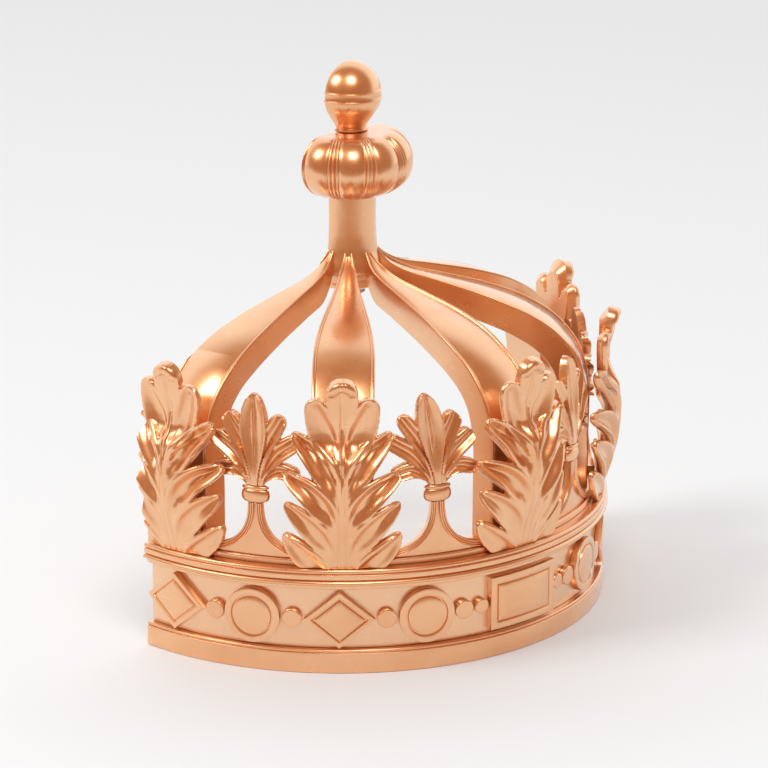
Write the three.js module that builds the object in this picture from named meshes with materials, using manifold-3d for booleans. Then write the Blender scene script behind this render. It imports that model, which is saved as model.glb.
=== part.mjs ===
// A half-round wall crown: a moulded band with applied jewels, five acanthus leaves, four
// palmettes and five ogee straps that carry a turned finial. Everything stops at one flat back.
//
// Millimetres, +Z up. The band's centre is the middle of the ring, the front is -Y and the flat
// back faces +Y. Angles go round the band from the front, positive towards +X.
import * as THREE from 'three';
import { mergeVertices } from 'three/addons/utils/BufferGeometryUtils.js';
import Module from 'manifold-3d';

// ---------------------------------------------------------------- driving dimensions

const seam = 0.3; // gap left where two pieces touch
const rimRadius = 200; // outside of the base rim
const backSetback = 8.6; // the flat back lies this far in front of the ring's centre
const bandWall = 34; // base rim's outside to the band's inner wall
const ringSteps = 34; // facets round the half ring

const rimHeight = 18;
const rimBead = 3; // height of the bead along the rim's top edge
const friezeHeight = 45.6;
const friezeRecess = 5; // frieze face behind the rim's outside
const mouldingHeight = 15.6;
const mouldingOverhang = 3.6; // widest bead beyond the rim's outside
const ledgeHeight = 4.2;
const ledgeSetback = 6.5; // ledge face behind the rim's outside

const jewelGap = 0.9; // between neighbouring jewels along the band
const jewelRelief = 5; // how far a jewel stands off the frieze
const panelRelief = 1.4; // depth of the groove round a jewel's inner panel
const plaqueWidth = 63; // the front rectangle
const plaqueMargin = 2.6; // above and below the rectangle
const plaqueBorder = 5.5;
const roundMargin = 2.2; // above and below a round jewel
const roundBorder = 5.2;
const lozengeMargin = 1.0; // above and below a lozenge
const lozengeBorder = 5;
const discDiameter = 15.2;
const smallDiscDiameter = 12;

const leafAngles = [-80, -42, 0, 42, 80];
const leafHeight = 146;
const leafThickness = 5;
const leafBaseHalfWidth = 23;
// Each pair of leaf lobes: tip height, tip half-width, and the half-width of the notch above it.
const leafLobes = [
  { tip: 21, reach: 43, notch: 22 },
  { tip: 47, reach: 43.8, notch: 18.5 },
  { tip: 69, reach: 43.5, notch: 19 },
  { tip: 98, reach: 39, notch: 15.5 },
  { tip: 123, reach: 29.5, notch: 11.5 },
];
const leafTipHalfWidth = 12;
const leafNotchRise = 3; // from a lobe's tip up to the notch above it
const leafBelly = 12; // how far the leaf swells out from its seat
const leafTipFlare = 12; // how far its tip rolls out from its seat

const palmetteDepth = 6.2; // radial thickness of fan and stem
const knopHeight = 47; // knop's middle above the ledge
const knopRadius = 11;
const knopHalfHeight = 6.4;
const stemHalfWidth = 5.4; // under the knop
const scrollHalfWidth = 40; // where the two scrolls reach the ledge
// Fan lobes on one side of the middle one: direction from upright, and length from the knop.
const fanMiddleLobe = 73.5;
const fanLobes = [
  { turn: 23, length: 64 },
  { turn: 43, length: 56 },
  { turn: 72, length: 36 },
];
const fanLobeHalfTurn = 8; // half the angle a lobe covers

const strapThickness = 20;
const strapRise = 175; // ledge to where a strap's face meets the neck
const strapTopWidth = 10.6;
const strapFootWidth = 45;
const strapBead = 2.2; // width of the raised edge on a strap's face
const strapBeadRelief = 0.8;
const strapSteps = 18;

const hubRadius = 22;
const hubDrop = 22; // the hub's underside below where the straps' faces meet it
const neckRadius = 20.3;
const neckHeight = 48; // above where the straps' faces meet it
const melonRadius = 48.2;
const melonHeight = 52;
const melonGores = 12; // round a whole turn
const melonGroove = 2.4; // depth between gores
const ballRadius = 24;
const ballStem = 13.2; // radius of the ball's foot
const ballStemHeight = 6;
const ballBandRelief = 1;
const ballBandHeight = 9;

const boltRadius = 3;
const boltForward = 9; // bolt axis in front of the flat back
const boltHeadRadius = 6;
const boltHeadHeight = 4;
const boltInBall = 26; // thread engaged in the ball
const boltClearance = 0.35;

const hangerWidth = 16;
const hangerMargin = 2.8; // above and below a hanger on the frieze's end
const hangerThickness = 1.5;
const hangerClearance = 0.3;
const keyholeRadius = 4.5;
const keyholeSlotRadius = 2;
const keyholeSlotLength = 10;
const keyholeDrop = 2; // the keyhole's round end below the plate's middle
const keyholeDepth = 8; // pocket behind the plate for a wall screw's head
const screwInset = 5; // from a hanger's end to its screw
const screwHeadRadius = 3.2;
const screwHeadDepth = 1.4;
const screwShankRadius = 1.5;
const screwLength = 12;

// ---------------------------------------------------------------- sizes that follow

const innerRadius = rimRadius - bandWall;
const friezeRadius = rimRadius - friezeRecess;
const mouldingRadius = rimRadius + mouldingOverhang;
const ledgeRadius = rimRadius - ledgeSetback;
const friezeBase = rimHeight + seam;
const friezeTop = friezeBase + friezeHeight;
const mouldingBase = friezeTop + seam;
const mouldingTop = mouldingBase + mouldingHeight;
const ledgeBase = mouldingTop + seam;
const ledgeTop = ledgeBase + ledgeHeight;
const friezeMiddle = (friezeBase + friezeTop) / 2;
const hangerHeight = friezeHeight - 2 * hangerMargin;
const screwSpacing = hangerHeight - 2 * screwInset;
const palmetteFace = ledgeRadius; // outside radius of fans and stems
const palmetteBack = palmetteFace - palmetteDepth;
const strapFaceRadius = palmetteBack - seam;
const leafSeatRadius = ledgeRadius + seam + leafThickness;
const knopZ = ledgeTop + knopHeight;
const strapTop = ledgeTop + strapRise;
const hubBase = strapTop - hubDrop;
const neckTop = strapTop + neckHeight;
const melonBase = neckTop + seam;
const melonTop = melonBase + melonHeight;
const ballBase = melonTop + seam;
const ballMiddle = ballBase + ballStemHeight + Math.sqrt(ballRadius ** 2 - ballStem ** 2);
const boltY = -backSetback - boltForward;

const degrees = THREE.MathUtils.degToRad;
const lerp = THREE.MathUtils.lerp;

// ---------------------------------------------------------------- solids from loops

// Turns a closed mesh inside out if its faces point inwards.
function facingOut(points, faces) {
  let volume = 0;
  for (const [a, b, c] of faces) {
    volume += points[a].dot(new THREE.Vector3().crossVectors(points[b], points[c]));
  }
  return volume < 0 ? faces.map(([a, b, c]) => [a, c, b]) : faces;
}

function closedGeometry(points, faces) {
  const geometry = new THREE.BufferGeometry().setFromPoints(points);
  geometry.setIndex(facingOut(points, faces).flat());
  return mergeVertices(geometry, 1e-4);
}

// Joins loops of equal length into one closed body. Both ends are filled from `endOutline`,
// a flat drawing of the loop, or by a fan from the loop's middle.
function loft(loops, endOutline = null) {
  const count = loops[0].length;
  const points = loops.flat();
  const faces = [];
  for (let row = 0; row + 1 < loops.length; row++) {
    for (let i = 0; i < count; i++) {
      const next = (i + 1) % count;
      const a = row * count + i;
      const b = row * count + next;
      faces.push([a, b, b + count], [a, b + count, a + count]);
    }
  }
  const last = (loops.length - 1) * count;
  if (endOutline) {
    for (const [a, b, c] of THREE.ShapeUtils.triangulateShape(endOutline, [])) {
      faces.push([a, c, b], [last + a, last + b, last + c]);
    }
    return closedGeometry(points, matchWinding(faces, count));
  }
  for (const [start, loop, flip] of [[0, loops[0], true], [last, loops.at(-1), false]]) {
    const middle = points.length;
    points.push(loop.reduce((sum, p) => sum.add(p), new THREE.Vector3()).divideScalar(count));
    for (let i = 0; i < count; i++) {
      const a = start + i;
      const b = start + (i + 1) % count;
      faces.push(flip ? [middle, b, a] : [middle, a, b]);
    }
  }
  return closedGeometry(points, faces);
}

// The end faces of a loft have to run against its sides along the shared edges.
function matchWinding(faces, count) {
  const sideEdges = new Set();
  const isEnd = (face) => Math.max(...face) - Math.min(...face) < count
    && new Set(face.map((i) => Math.floor(i / count))).size === 1;
  for (const face of faces) {
    if (isEnd(face)) continue;
    face.forEach((a, i) => sideEdges.add(`${a}-${face[(i + 1) % 3]}`));
  }
  const ends = faces.filter(isEnd);
  const clashes = ends.some((face) => face.some((a, i) => sideEdges.has(`${a}-${face[(i + 1) % 3]}`)));
  return faces.map((face) => (clashes && isEnd(face) ? [face[0], face[2], face[1]] : face));
}

// ---------------------------------------------------------------- cuts

const wasm = await Module();
wasm.setup();

function toSolid(geometry) {
  const bare = geometry.clone();
  for (const name of Object.keys(bare.attributes)) {
    if (name !== 'position') bare.deleteAttribute(name);
  }
  const merged = mergeVertices(bare, 1e-4);
  return new wasm.Manifold(new wasm.Mesh({
    numProp: 3,
    vertProperties: new Float32Array(merged.attributes.position.array),
    triVerts: new Uint32Array(merged.index.array),
  }));
}

function toGeometry(solid) {
  const mesh = solid.getMesh();
  const geometry = new THREE.BufferGeometry();
  geometry.setAttribute('position', new THREE.BufferAttribute(mesh.vertProperties, 3));
  geometry.setIndex(new THREE.BufferAttribute(mesh.triVerts, 1));
  return geometry;
}

function cut(geometry, ...cutters) {
  return toGeometry(cutters.reduce((solid, cutter) => solid.subtract(toSolid(cutter)), toSolid(geometry)));
}

// A block that holds everything behind the flat back.
function behindTheBack() {
  const size = 4 * rimRadius;
  const block = new THREE.BoxGeometry(size, size, size);
  return block.translate(0, size / 2 - backSetback, 0);
}

// ---------------------------------------------------------------- places

function onRing(angle, radius, z) {
  return new THREE.Vector3(radius * Math.sin(angle), -radius * Math.cos(angle), z);
}

// The end angle of a half ring of this radius, where it meets the flat back.
function endAngle(radius) {
  return Math.acos(backSetback / radius);
}

// A half ring of a section given as [radius, z] points, cut off by the flat back.
function halfRing(section) {
  const loops = [];
  for (let step = 0; step <= ringSteps; step++) {
    const share = (2 * step) / ringSteps - 1;
    loops.push(section.map(([radius, z]) => onRing(share * endAngle(radius), radius, z)));
  }
  return loft(loops, section.map(([radius, z]) => new THREE.Vector2(radius, z)));
}

// A half-round turned piece on the finial's axis, from [radius, z] points, flat at the back.
function halfTurned(profile, steps, relief = () => 0) {
  const loops = profile.map(([radius, z]) => {
    const loop = [];
    for (let step = 0; step <= steps; step++) {
      const angle = degrees(-90 + (180 * step) / steps);
      const point = onRing(angle, radius - relief(angle, radius, z), z);
      loop.push(point.add(new THREE.Vector3(0, -backSetback, 0)));
    }
    return loop;
  });
  return loft(loops);
}

// ---------------------------------------------------------------- band

// A bead's rounded outside, from its lower edge to its upper edge.
function beadPoints(radius, base, top, swell, steps = 3) {
  const points = [];
  for (let i = 0; i <= steps; i++) {
    const turn = (Math.PI * i) / steps;
    points.push([radius + swell * Math.sin(turn), lerp(base, top, (1 - Math.cos(turn)) / 2)]);
  }
  return points;
}

function baseRim() {
  const shoulder = rimHeight - rimBead;
  return halfRing([
    [innerRadius, 0],
    [rimRadius, 0],
    [rimRadius, shoulder],
    [rimRadius - 1, shoulder + 0.4],
    ...beadPoints(rimRadius - 1, shoulder + 0.8, rimHeight, 0.9, 2),
    [innerRadius, rimHeight],
  ]);
}

function friezeBand() {
  const ring = halfRing([
    [innerRadius, friezeBase],
    [friezeRadius, friezeBase],
    [friezeRadius, friezeTop],
    [innerRadius, friezeTop],
  ]);
  return cut(ring, ...[-1, 1].flatMap((side) => hangerPockets(side)));
}

function topMoulding() {
  const fillet = mouldingBase + 3;
  const bead = fillet + 4.2;
  const flat = bead + 4.4;
  return halfRing([
    [innerRadius, mouldingBase],
    [rimRadius - 0.6, mouldingBase],
    [rimRadius - 0.6, fillet],
    ...beadPoints(rimRadius + 0.8, fillet + 0.5, bead, mouldingOverhang - 0.8),
    [rimRadius + 1, bead + 0.6],
    [rimRadius + 2.2, bead + 0.9],
    [rimRadius + 2.2, flat],
    [rimRadius + 1.2, flat + 0.5],
    ...beadPoints(rimRadius + 0.6, flat + 0.9, mouldingTop, 1.2, 2),
    [innerRadius, mouldingTop],
  ]);
}

function crestLedge() {
  return halfRing([
    [innerRadius, ledgeBase],
    [ledgeRadius, ledgeBase],
    [ledgeRadius, ledgeTop],
    [innerRadius, ledgeTop],
  ]);
}

// ---------------------------------------------------------------- jewels

// A piece applied to the band: rings of [x, z] outline points at given heights off the frieze.
function applied(angle, rings) {
  const seat = friezeRadius + seam;
  const loops = rings.map(({ outline, lift }) => outline.map(([x, z]) => (
    onRing(angle + x / seat, seat + lift, friezeMiddle + z)
  )));
  return cut(loft(loops), behindTheBack());
}

function scaled(outline, factor) {
  return outline.map(([x, z]) => [x * factor, z * factor]);
}

function circle(radius, steps) {
  return Array.from({ length: steps }, (_, i) => {
    const turn = (2 * Math.PI * i) / steps;
    return [radius * Math.cos(turn), radius * Math.sin(turn)];
  });
}

// A polygon's outline with extra points along each side.
function polygon(corners, perSide) {
  return corners.flatMap(([x, z], i) => {
    const [nextX, nextZ] = corners[(i + 1) % corners.length];
    return Array.from({ length: perSide }, (_, k) => (
      [lerp(x, nextX, k / perSide), lerp(z, nextZ, k / perSide)]
    ));
  });
}

function rectangle(width, height) {
  const x = width / 2;
  const z = height / 2;
  return polygon([[x, -z], [x, z], [-x, z], [-x, -z]], 4);
}

function lozenge(width, height) {
  return polygon([[width / 2, 0], [0, height / 2], [-width / 2, 0], [0, -height / 2]], 4);
}

// Back rings, a border, a groove and a raised inner panel, for any outline(inset).
function framedJewel(angle, outline, border) {
  const full = outline(0);
  return applied(angle, [
    { outline: scaled(full, 0.35), lift: 0 },
    { outline: scaled(full, 0.7), lift: 0 },
    { outline: full, lift: 0 },
    { outline: full, lift: jewelRelief },
    { outline: outline(border), lift: jewelRelief },
    { outline: outline(border + 0.6), lift: jewelRelief - panelRelief },
    { outline: outline(border + 1.6), lift: jewelRelief - panelRelief },
    { outline: outline(border + 2.2), lift: jewelRelief },
  ]);
}

const plaqueHeight = friezeHeight - 2 * plaqueMargin;
const roundDiameter = friezeHeight - 2 * roundMargin;
const lozengeHeight = friezeHeight - 2 * lozengeMargin;

function rectanglePlaque(angle) {
  const outline = (inset) => rectangle(plaqueWidth - 2 * inset, plaqueHeight - 2 * inset);
  return framedJewel(angle, outline, plaqueBorder);
}

function roundPlaque(angle) {
  return framedJewel(angle, (inset) => circle(roundDiameter / 2 - inset, 16), roundBorder);
}

function lozengePlaque(angle, width) {
  const insetShare = (inset) => 1 - (2 * inset) / lozengeHeight;
  return framedJewel(
    angle,
    (inset) => lozenge(width * insetShare(inset), lozengeHeight * insetShare(inset)),
    lozengeBorder,
  );
}

function disc(angle, diameter) {
  const outline = circle(diameter / 2, 10);
  return applied(angle, [
    { outline: scaled(outline, 0.5), lift: 0 },
    { outline, lift: 0 },
    { outline, lift: jewelRelief - 1.6 },
    { outline: scaled(outline, 0.9), lift: jewelRelief - 1 },
  ]);
}

// The jewels of one side in order from the front, with the width each takes along the band.
// The lozenges take up what the others leave between the plaque and the flat back.
function jewelChain() {
  const order = ['small_disc', 'disc', 'round', 'disc', 'lozenge', 'disc', 'round', 'disc', 'lozenge'];
  const seat = friezeRadius + seam;
  const halfBand = endAngle(seat) * seat - jewelGap;
  const width = { small_disc: smallDiscDiameter, disc: discDiameter, round: roundDiameter, lozenge: 0 };
  const others = order.reduce((sum, kind) => sum + width[kind] + jewelGap, plaqueWidth / 2);
  width.lozenge = (halfBand - others) / 2;
  let along = plaqueWidth / 2;
  return order.map((kind) => {
    along += jewelGap + width[kind];
    return { kind, width: width[kind], angle: (along - width[kind] / 2) / seat };
  });
}

// ---------------------------------------------------------------- leaves

// The leaf's front face in side view, from its foot to its rolled tip: [outward, height].
const leafProfile = new THREE.CatmullRomCurve3([
  [0, 0], [leafBelly * 0.55, leafHeight * 0.14], [leafBelly, leafHeight * 0.34],
  [leafBelly * 0.75, leafHeight * 0.6], [leafBelly * 0.5, leafHeight * 0.82], [leafTipFlare, leafHeight],
].map(([out, up]) => new THREE.Vector3(out, up, 0)), false, 'centripetal');

// Half-widths of the leaf from foot to tip, as { height, half } rows.
function leafRows() {
  const rows = [{ height: 0, half: leafBaseHalfWidth }];
  let notchHeight = 0;
  let notchHalf = leafBaseHalfWidth;
  for (const { tip, reach, notch } of leafLobes) {
    rows.push({ height: lerp(notchHeight, tip, 0.55), half: lerp(notchHalf, reach, 0.72) });
    rows.push({ height: tip, half: reach });
    notchHeight = tip + leafNotchRise;
    notchHalf = notch;
    rows.push({ height: notchHeight, half: notchHalf });
  }
  rows.push({ height: lerp(notchHeight, leafHeight, 0.45), half: leafTipHalfWidth });
  rows.push({ height: lerp(notchHeight, leafHeight, 0.85), half: leafTipHalfWidth * 0.8 });
  rows.push({ height: leafHeight, half: leafTipHalfWidth * 0.3 });
  return rows;
}

function acanthusLeaf(angle) {
  const across = [-1, -0.5, 0, 0.5, 1];
  const swell = [0, 2.6, 0, 2.6, 0]; // the leaf swells either side of its middle rib
  const loops = leafRows().map(({ height, half }) => {
    const share = Math.min(height / leafHeight, 1);
    const at = leafProfile.getPoint(share);
    const along = leafProfile.getTangent(share);
    const place = (x, lift) => onRing(
      angle + x / leafSeatRadius,
      leafSeatRadius + at.x + lift * along.y,
      mouldingTop + seam + at.y - lift * along.x,
    );
    const fade = Math.sin(Math.PI * Math.min(1, 0.1 + share));
    const front = across.map((side, i) => place(side * half, swell[i] * fade));
    const back = across.map((side) => place(side * half, -leafThickness));
    return [...front, ...back.reverse()];
  });
  for (const point of loops[0]) point.z = mouldingTop + seam;
  return cut(loft(loops), behindTheBack());
}

// ---------------------------------------------------------------- palmettes

// A bent plate between two radii from outline rings about [0, middleZ].
function bentPlate(angle, rings, middleZ) {
  const seat = palmetteFace;
  return loft(rings.map(({ outline, radius }) => outline.map(([x, z]) => (
    onRing(angle + x / seat, radius, middleZ + z)
  ))));
}

function palmetteFan(angle) {
  const sides = [...fanLobes].reverse();
  const lobes = [
    ...sides.map(({ turn, length }) => ({ turn: -turn, length })),
    { turn: 0, length: fanMiddleLobe },
    ...fanLobes,
  ];
  const footHalf = stemHalfWidth;
  const foot = knopHalfHeight + seam;
  const outline = [];
  lobes.forEach(({ turn, length }, i) => {
    const polar = (degree, radius) => (
      [radius * Math.sin(degrees(degree)), radius * Math.cos(degrees(degree))]
    );
    for (const [across, along] of [[-1, 0.78], [-0.5, 0.96], [0, 1], [0.5, 0.96], [1, 0.78]]) {
      outline.push(polar(turn + across * fanLobeHalfTurn, along * length));
    }
    if (i + 1 < lobes.length) {
      const next = lobes[i + 1];
      outline.push(polar((turn + next.turn) / 2, Math.min(length, next.length) * 0.55));
    }
  });
  outline.push([footHalf * 1.6, foot + 2], [footHalf, foot], [-footHalf, foot], [-footHalf * 1.6, foot + 2]);
  const heart = foot + 10; // the rings close in on this height
  const about = outline.map(([x, z]) => [x, Math.max(z, foot) - heart]);
  return bentPlate(angle, [
    { outline: scaled(about, 0.4), radius: palmetteBack },
    { outline: about, radius: palmetteBack },
    { outline: about, radius: palmetteFace - 1.6 },
    { outline: scaled(about, 0.4), radius: palmetteFace },
  ], knopZ + heart);
}

function palmetteKnop(angle) {
  const steps = 5;
  const loops = [];
  const middle = (palmetteFace + palmetteBack) / 2;
  const halfDepth = palmetteDepth / 2 + 1.5;
  for (let i = 0; i <= steps; i++) {
    const turn = degrees(20 + (140 * i) / steps);
    const size = Math.sin(turn);
    const z = knopZ - knopHalfHeight * (Math.cos(turn) / Math.cos(degrees(20)));
    loops.push(circle(1, 12).map(([x, y]) => (
      onRing(angle + (x * knopRadius * size) / middle, middle + y * halfDepth * size, z)
    )));
  }
  return loft(loops);
}

// Two scrolls that spread from under the knop to the ledge, with a web between them.
function palmetteStem(angle) {
  const top = knopZ - knopHalfHeight - seam;
  const base = ledgeTop + seam;
  const across = [-1, -0.5, 0.5, 1];
  const steps = 8;
  const loops = [];
  for (let i = 0; i <= steps; i++) {
    const fall = Math.sin((Math.PI / 2) * (i / steps)); // 0 under the knop, 1 on the ledge
    const spread = 1 - Math.sqrt(Math.max(0, 1 - fall ** 2));
    const half = lerp(stemHalfWidth, scrollHalfWidth, spread);
    const z = lerp(top, base, fall);
    const at = (radius) => (side) => onRing(angle + (side * half) / palmetteFace, radius, z);
    loops.push([...across.map(at(palmetteFace)), ...across.map(at(palmetteBack)).reverse()]);
  }
  return loft(loops);
}

// ---------------------------------------------------------------- straps

// A strap's face in side view, foot to neck: shares of its reach from the finial's axis and of its rise.
const strapShape = [
  [1, 0], [1, 0.2], [0.998, 0.42], [0.955, 0.59], [0.87, 0.705], [0.74, 0.795],
  [0.58, 0.86], [0.38, 0.915], [0.2, 0.96], [0.09, 1.02],
];

function strap(angle) {
  const foot = onRing(angle, strapFaceRadius, 0);
  const axis = new THREE.Vector3(0, -backSetback, 0);
  const outward = foot.clone().sub(axis);
  const reach = outward.length();
  outward.normalize();
  const sideways = new THREE.Vector3(-outward.y, outward.x, 0);
  const base = ledgeTop + seam;
  const curve = new THREE.CatmullRomCurve3(
    strapShape.map(([out, up]) => new THREE.Vector3(out * reach, up * (strapTop - base), 0)),
    false,
    'centripetal',
  );
  const loops = [];
  for (let step = 0; step <= strapSteps; step++) {
    const share = step / strapSteps;
    const at = curve.getPointAt(share);
    const along = curve.getTangentAt(share);
    const taper = THREE.MathUtils.smoothstep(at.x, 0.06 * reach, 0.8 * reach);
    const half = lerp(strapTopWidth, strapFootWidth, taper) / 2;
    const section = [
      [-half, 0], [-half + strapBead, 0], [-half + strapBead, -strapBeadRelief],
      [half - strapBead, -strapBeadRelief], [half - strapBead, 0], [half, 0],
      [half, -strapThickness], [-half, -strapThickness],
    ];
    loops.push(section.map(([x, lift]) => {
      const point = axis.clone().addScaledVector(outward, at.x + lift * along.y);
      point.addScaledVector(sideways, x);
      point.z = base + at.y - lift * along.x;
      return point;
    }));
  }
  return cut(loft(loops, loops[0].map((p) => new THREE.Vector2(
    p.clone().sub(axis).dot(sideways),
    p.clone().sub(axis).dot(outward),
  ))), behindTheBack(), hubRoom());
}

// Everything the straps have to leave free for the hub and neck.
function hubRoom() {
  const radius = hubRadius + seam;
  return new THREE.CylinderGeometry(radius, radius, 4 * hubDrop + 2 * neckHeight, 64)
    .rotateX(Math.PI / 2)
    .translate(0, -backSetback, strapTop);
}

// ---------------------------------------------------------------- finial

function neck() {
  const flare = strapTop - 2;
  const profile = [
    [hubRadius * 0.7, hubBase], [hubRadius, hubBase + 3], [hubRadius, flare],
    [neckRadius + 0.6, flare + 5], [neckRadius, flare + 11], [neckRadius, neckTop],
  ];
  return cut(halfTurned(profile, 20), boltRoom());
}

function melon() {
  const steps = 8;
  const profile = [];
  for (let i = 0; i <= steps; i++) {
    const turn = degrees(lerp(18, 162, i / steps));
    const half = melonHeight / 2;
    const rise = half * (1 - Math.cos(turn) / Math.cos(degrees(18)));
    profile.push([melonRadius * Math.sin(turn), melonBase + rise]);
  }
  const furrow = (angle, radius) => (
    melonGroove * (radius / melonRadius) * Math.abs(Math.cos((angle * melonGores) / 2)) ** 6
  );
  return cut(halfTurned(profile, 30, furrow), boltRoom());
}

function ballFinial() {
  const collar = ballStem + 1.2;
  const profile = [[collar, ballBase], [collar, ballBase + 2], [ballStem - 0.8, ballBase + 3]];
  const steps = 10;
  const start = Math.asin(ballStem / ballRadius);
  const bandEdge = ballBandHeight / 2;
  for (let i = 0; i <= steps; i++) {
    const turn = lerp(start, Math.PI - degrees(6), i / steps);
    const rise = -ballRadius * Math.cos(turn);
    const relief = Math.abs(rise) < bandEdge ? ballBandRelief : 0;
    profile.push([ballRadius * Math.sin(turn) + relief, ballMiddle + rise]);
  }
  return cut(halfTurned(profile, 18), boltRoom());
}

const boltTip = ballBase + boltInBall;

function turnedAlong(profile, steps) {
  const closed = [[0, profile[0][1]], ...profile, [0, profile.at(-1)[1]]];
  const lathe = new THREE.LatheGeometry(closed.map(([r, y]) => new THREE.Vector2(r, y)), steps);
  return lathe.rotateX(Math.PI / 2);
}

function finialBolt() {
  return turnedAlong([
    [boltHeadRadius, hubBase - seam - boltHeadHeight],
    [boltHeadRadius, hubBase - seam],
    [boltRadius, hubBase - seam],
    [boltRadius, boltTip],
  ], 12).translate(0, boltY, 0);
}

function boltRoom() {
  const radius = boltRadius + boltClearance;
  return turnedAlong([[radius, hubBase - 2 * boltHeadHeight], [radius, boltTip + boltClearance]], 12)
    .translate(0, boltY, 0);
}

// ---------------------------------------------------------------- hangers

// Middle of a hanger along X, halfway across the frieze's end.
const hangerX = (Math.sqrt(friezeRadius ** 2 - backSetback ** 2) + innerRadius) / 2;

// A plate with a keyhole, its back face in the flat back.
function hangerPlate(side) {
  const shape = new THREE.Shape([
    [-hangerWidth / 2, -hangerHeight / 2], [hangerWidth / 2, -hangerHeight / 2],
    [hangerWidth / 2, hangerHeight / 2], [-hangerWidth / 2, hangerHeight / 2],
  ].map(([x, z]) => new THREE.Vector2(x, z)));
  const hole = new THREE.Path();
  const meet = Math.asin(keyholeSlotRadius / keyholeRadius);
  hole.absarc(0, -keyholeDrop, keyholeRadius, Math.PI / 2 + meet, Math.PI / 2 - meet + 2 * Math.PI, false);
  hole.absarc(0, keyholeSlotLength - keyholeDrop, keyholeSlotRadius, 0, Math.PI, false);
  shape.holes.push(hole);
  const plate = new THREE.ExtrudeGeometry(shape, {
    depth: hangerThickness, bevelEnabled: false, curveSegments: 6,
  });
  plate.rotateX(Math.PI / 2).translate(side * hangerX, -backSetback, friezeMiddle);
  return cut(plate, ...[-1, 1].map((end) => hangerScrew(side, end, 0.15)));
}

// A countersunk screw through the plate, grown by `grow` to make its own hole.
function hangerScrew(side, end, grow = 0) {
  const screw = turnedAlong([
    [screwShankRadius + grow, -screwLength - grow],
    [screwShankRadius + grow, -screwHeadDepth - grow],
    [screwHeadRadius + grow, 0],
    ...(grow > 0 ? [[screwHeadRadius + grow, 1]] : []),
  ], 12);
  const z = friezeMiddle + (end * screwSpacing) / 2;
  return screw.rotateX(-Math.PI / 2).translate(side * hangerX, -backSetback, z);
}

function hangerPockets(side) {
  const grow = hangerClearance;
  const box = (width, depth, height) => new THREE.BoxGeometry(width, 2 * depth, height)
    .translate(side * hangerX, -backSetback, friezeMiddle);
  const plateRoom = box(hangerWidth + 2 * grow, hangerThickness + grow, hangerHeight + 2 * grow);
  const headRoom = box(2 * keyholeRadius, hangerThickness + keyholeDepth, 2 * keyholeSlotLength);
  return [plateRoom, headRoom, ...[-1, 1].map((end) => hangerScrew(side, end, 0.2))];
}

// ---------------------------------------------------------------- assembly

const copper = new THREE.MeshStandardMaterial({ color: '#c98350', roughness: 0.3, metalness: 1 });
const steel = new THREE.MeshStandardMaterial({ color: '#b9bcc0', roughness: 0.4, metalness: 1 });

const crown = new THREE.Group();

function add(name, geometry, material = copper) {
  const mesh = new THREE.Mesh(geometry, material);
  mesh.name = name;
  crown.add(mesh);
}

add('base_rim', baseRim());
add('frieze_band', friezeBand());
add('top_moulding', topMoulding());
add('crest_ledge', crestLedge());

add('rectangle_plaque', rectanglePlaque(0));
const sides = [['left', -1], ['right', 1]];
for (const [sideName, side] of sides) {
  const made = {};
  for (const { kind, width, angle } of jewelChain()) {
    made[kind] = (made[kind] ?? 0) + 1;
    const name = `${kind}_${sideName}_${made[kind]}`;
    if (kind === 'lozenge') add(name, lozengePlaque(side * angle, width));
    else if (kind === 'round') add(name, roundPlaque(side * angle));
    else add(name, disc(side * angle, width));
  }
}

leafAngles.forEach((angle, i) => {
  add(`leaf_${i + 1}`, acanthusLeaf(degrees(angle)));
  add(`strap_${i + 1}`, strap(degrees(angle)));
});

leafAngles.slice(1).forEach((angle, i) => {
  const between = degrees((angle + leafAngles[i]) / 2);
  add(`palmette_fan_${i + 1}`, palmetteFan(between));
  add(`palmette_knop_${i + 1}`, palmetteKnop(between));
  add(`palmette_stem_${i + 1}`, palmetteStem(between));
});

add('neck', neck());
add('melon', melon());
add('ball_finial', ballFinial());
add('finial_bolt', finialBolt(), steel);

for (const [sideName, side] of sides) {
  add(`hanger_${sideName}`, hangerPlate(side), steel);
  for (const [endName, end] of [['lower', -1], ['upper', 1]]) {
    add(`hanger_screw_${sideName}_${endName}`, hangerScrew(side, end), steel);
  }
}

// The origin is the middle of the crown's box, on the surface that it stands on.
const box = new THREE.Box3().setFromObject(crown);
const middle = box.getCenter(new THREE.Vector3());
crown.position.set(-middle.x, -middle.y, -box.min.z);

export default crown;
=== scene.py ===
"""A half-round wall crown, cast in resin and painted in satin copper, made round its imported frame.

Blender's units are metres, so a length in millimetres is written as 4 * MM. Angles go round the
band from the front, positive towards +X, and the flat back faces +Y.
"""
import math

import bmesh
import bpy
import numpy as np
from bpy.props import FloatProperty, FloatVectorProperty, IntProperty, PointerProperty
from mathutils import Matrix, Vector


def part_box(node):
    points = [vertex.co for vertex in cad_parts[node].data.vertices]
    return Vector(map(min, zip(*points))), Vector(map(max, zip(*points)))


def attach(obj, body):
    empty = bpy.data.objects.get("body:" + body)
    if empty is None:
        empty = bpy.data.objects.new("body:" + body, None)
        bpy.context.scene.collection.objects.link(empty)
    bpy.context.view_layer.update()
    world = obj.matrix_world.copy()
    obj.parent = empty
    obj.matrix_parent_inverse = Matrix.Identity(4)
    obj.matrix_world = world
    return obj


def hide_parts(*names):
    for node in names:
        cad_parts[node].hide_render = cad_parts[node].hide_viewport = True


bl_info = {
    "name": "Wall crown",
    "version": (1, 0, 0),
    "blender": (4, 5, 0),
    "location": "View3D > Sidebar > Wall crown",
    "description": "Makes a half-round wall crown in satin copper, piece by piece",
    "category": "Add Mesh",
}

MM = 0.001
SIDES = ("left", "right")

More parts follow.
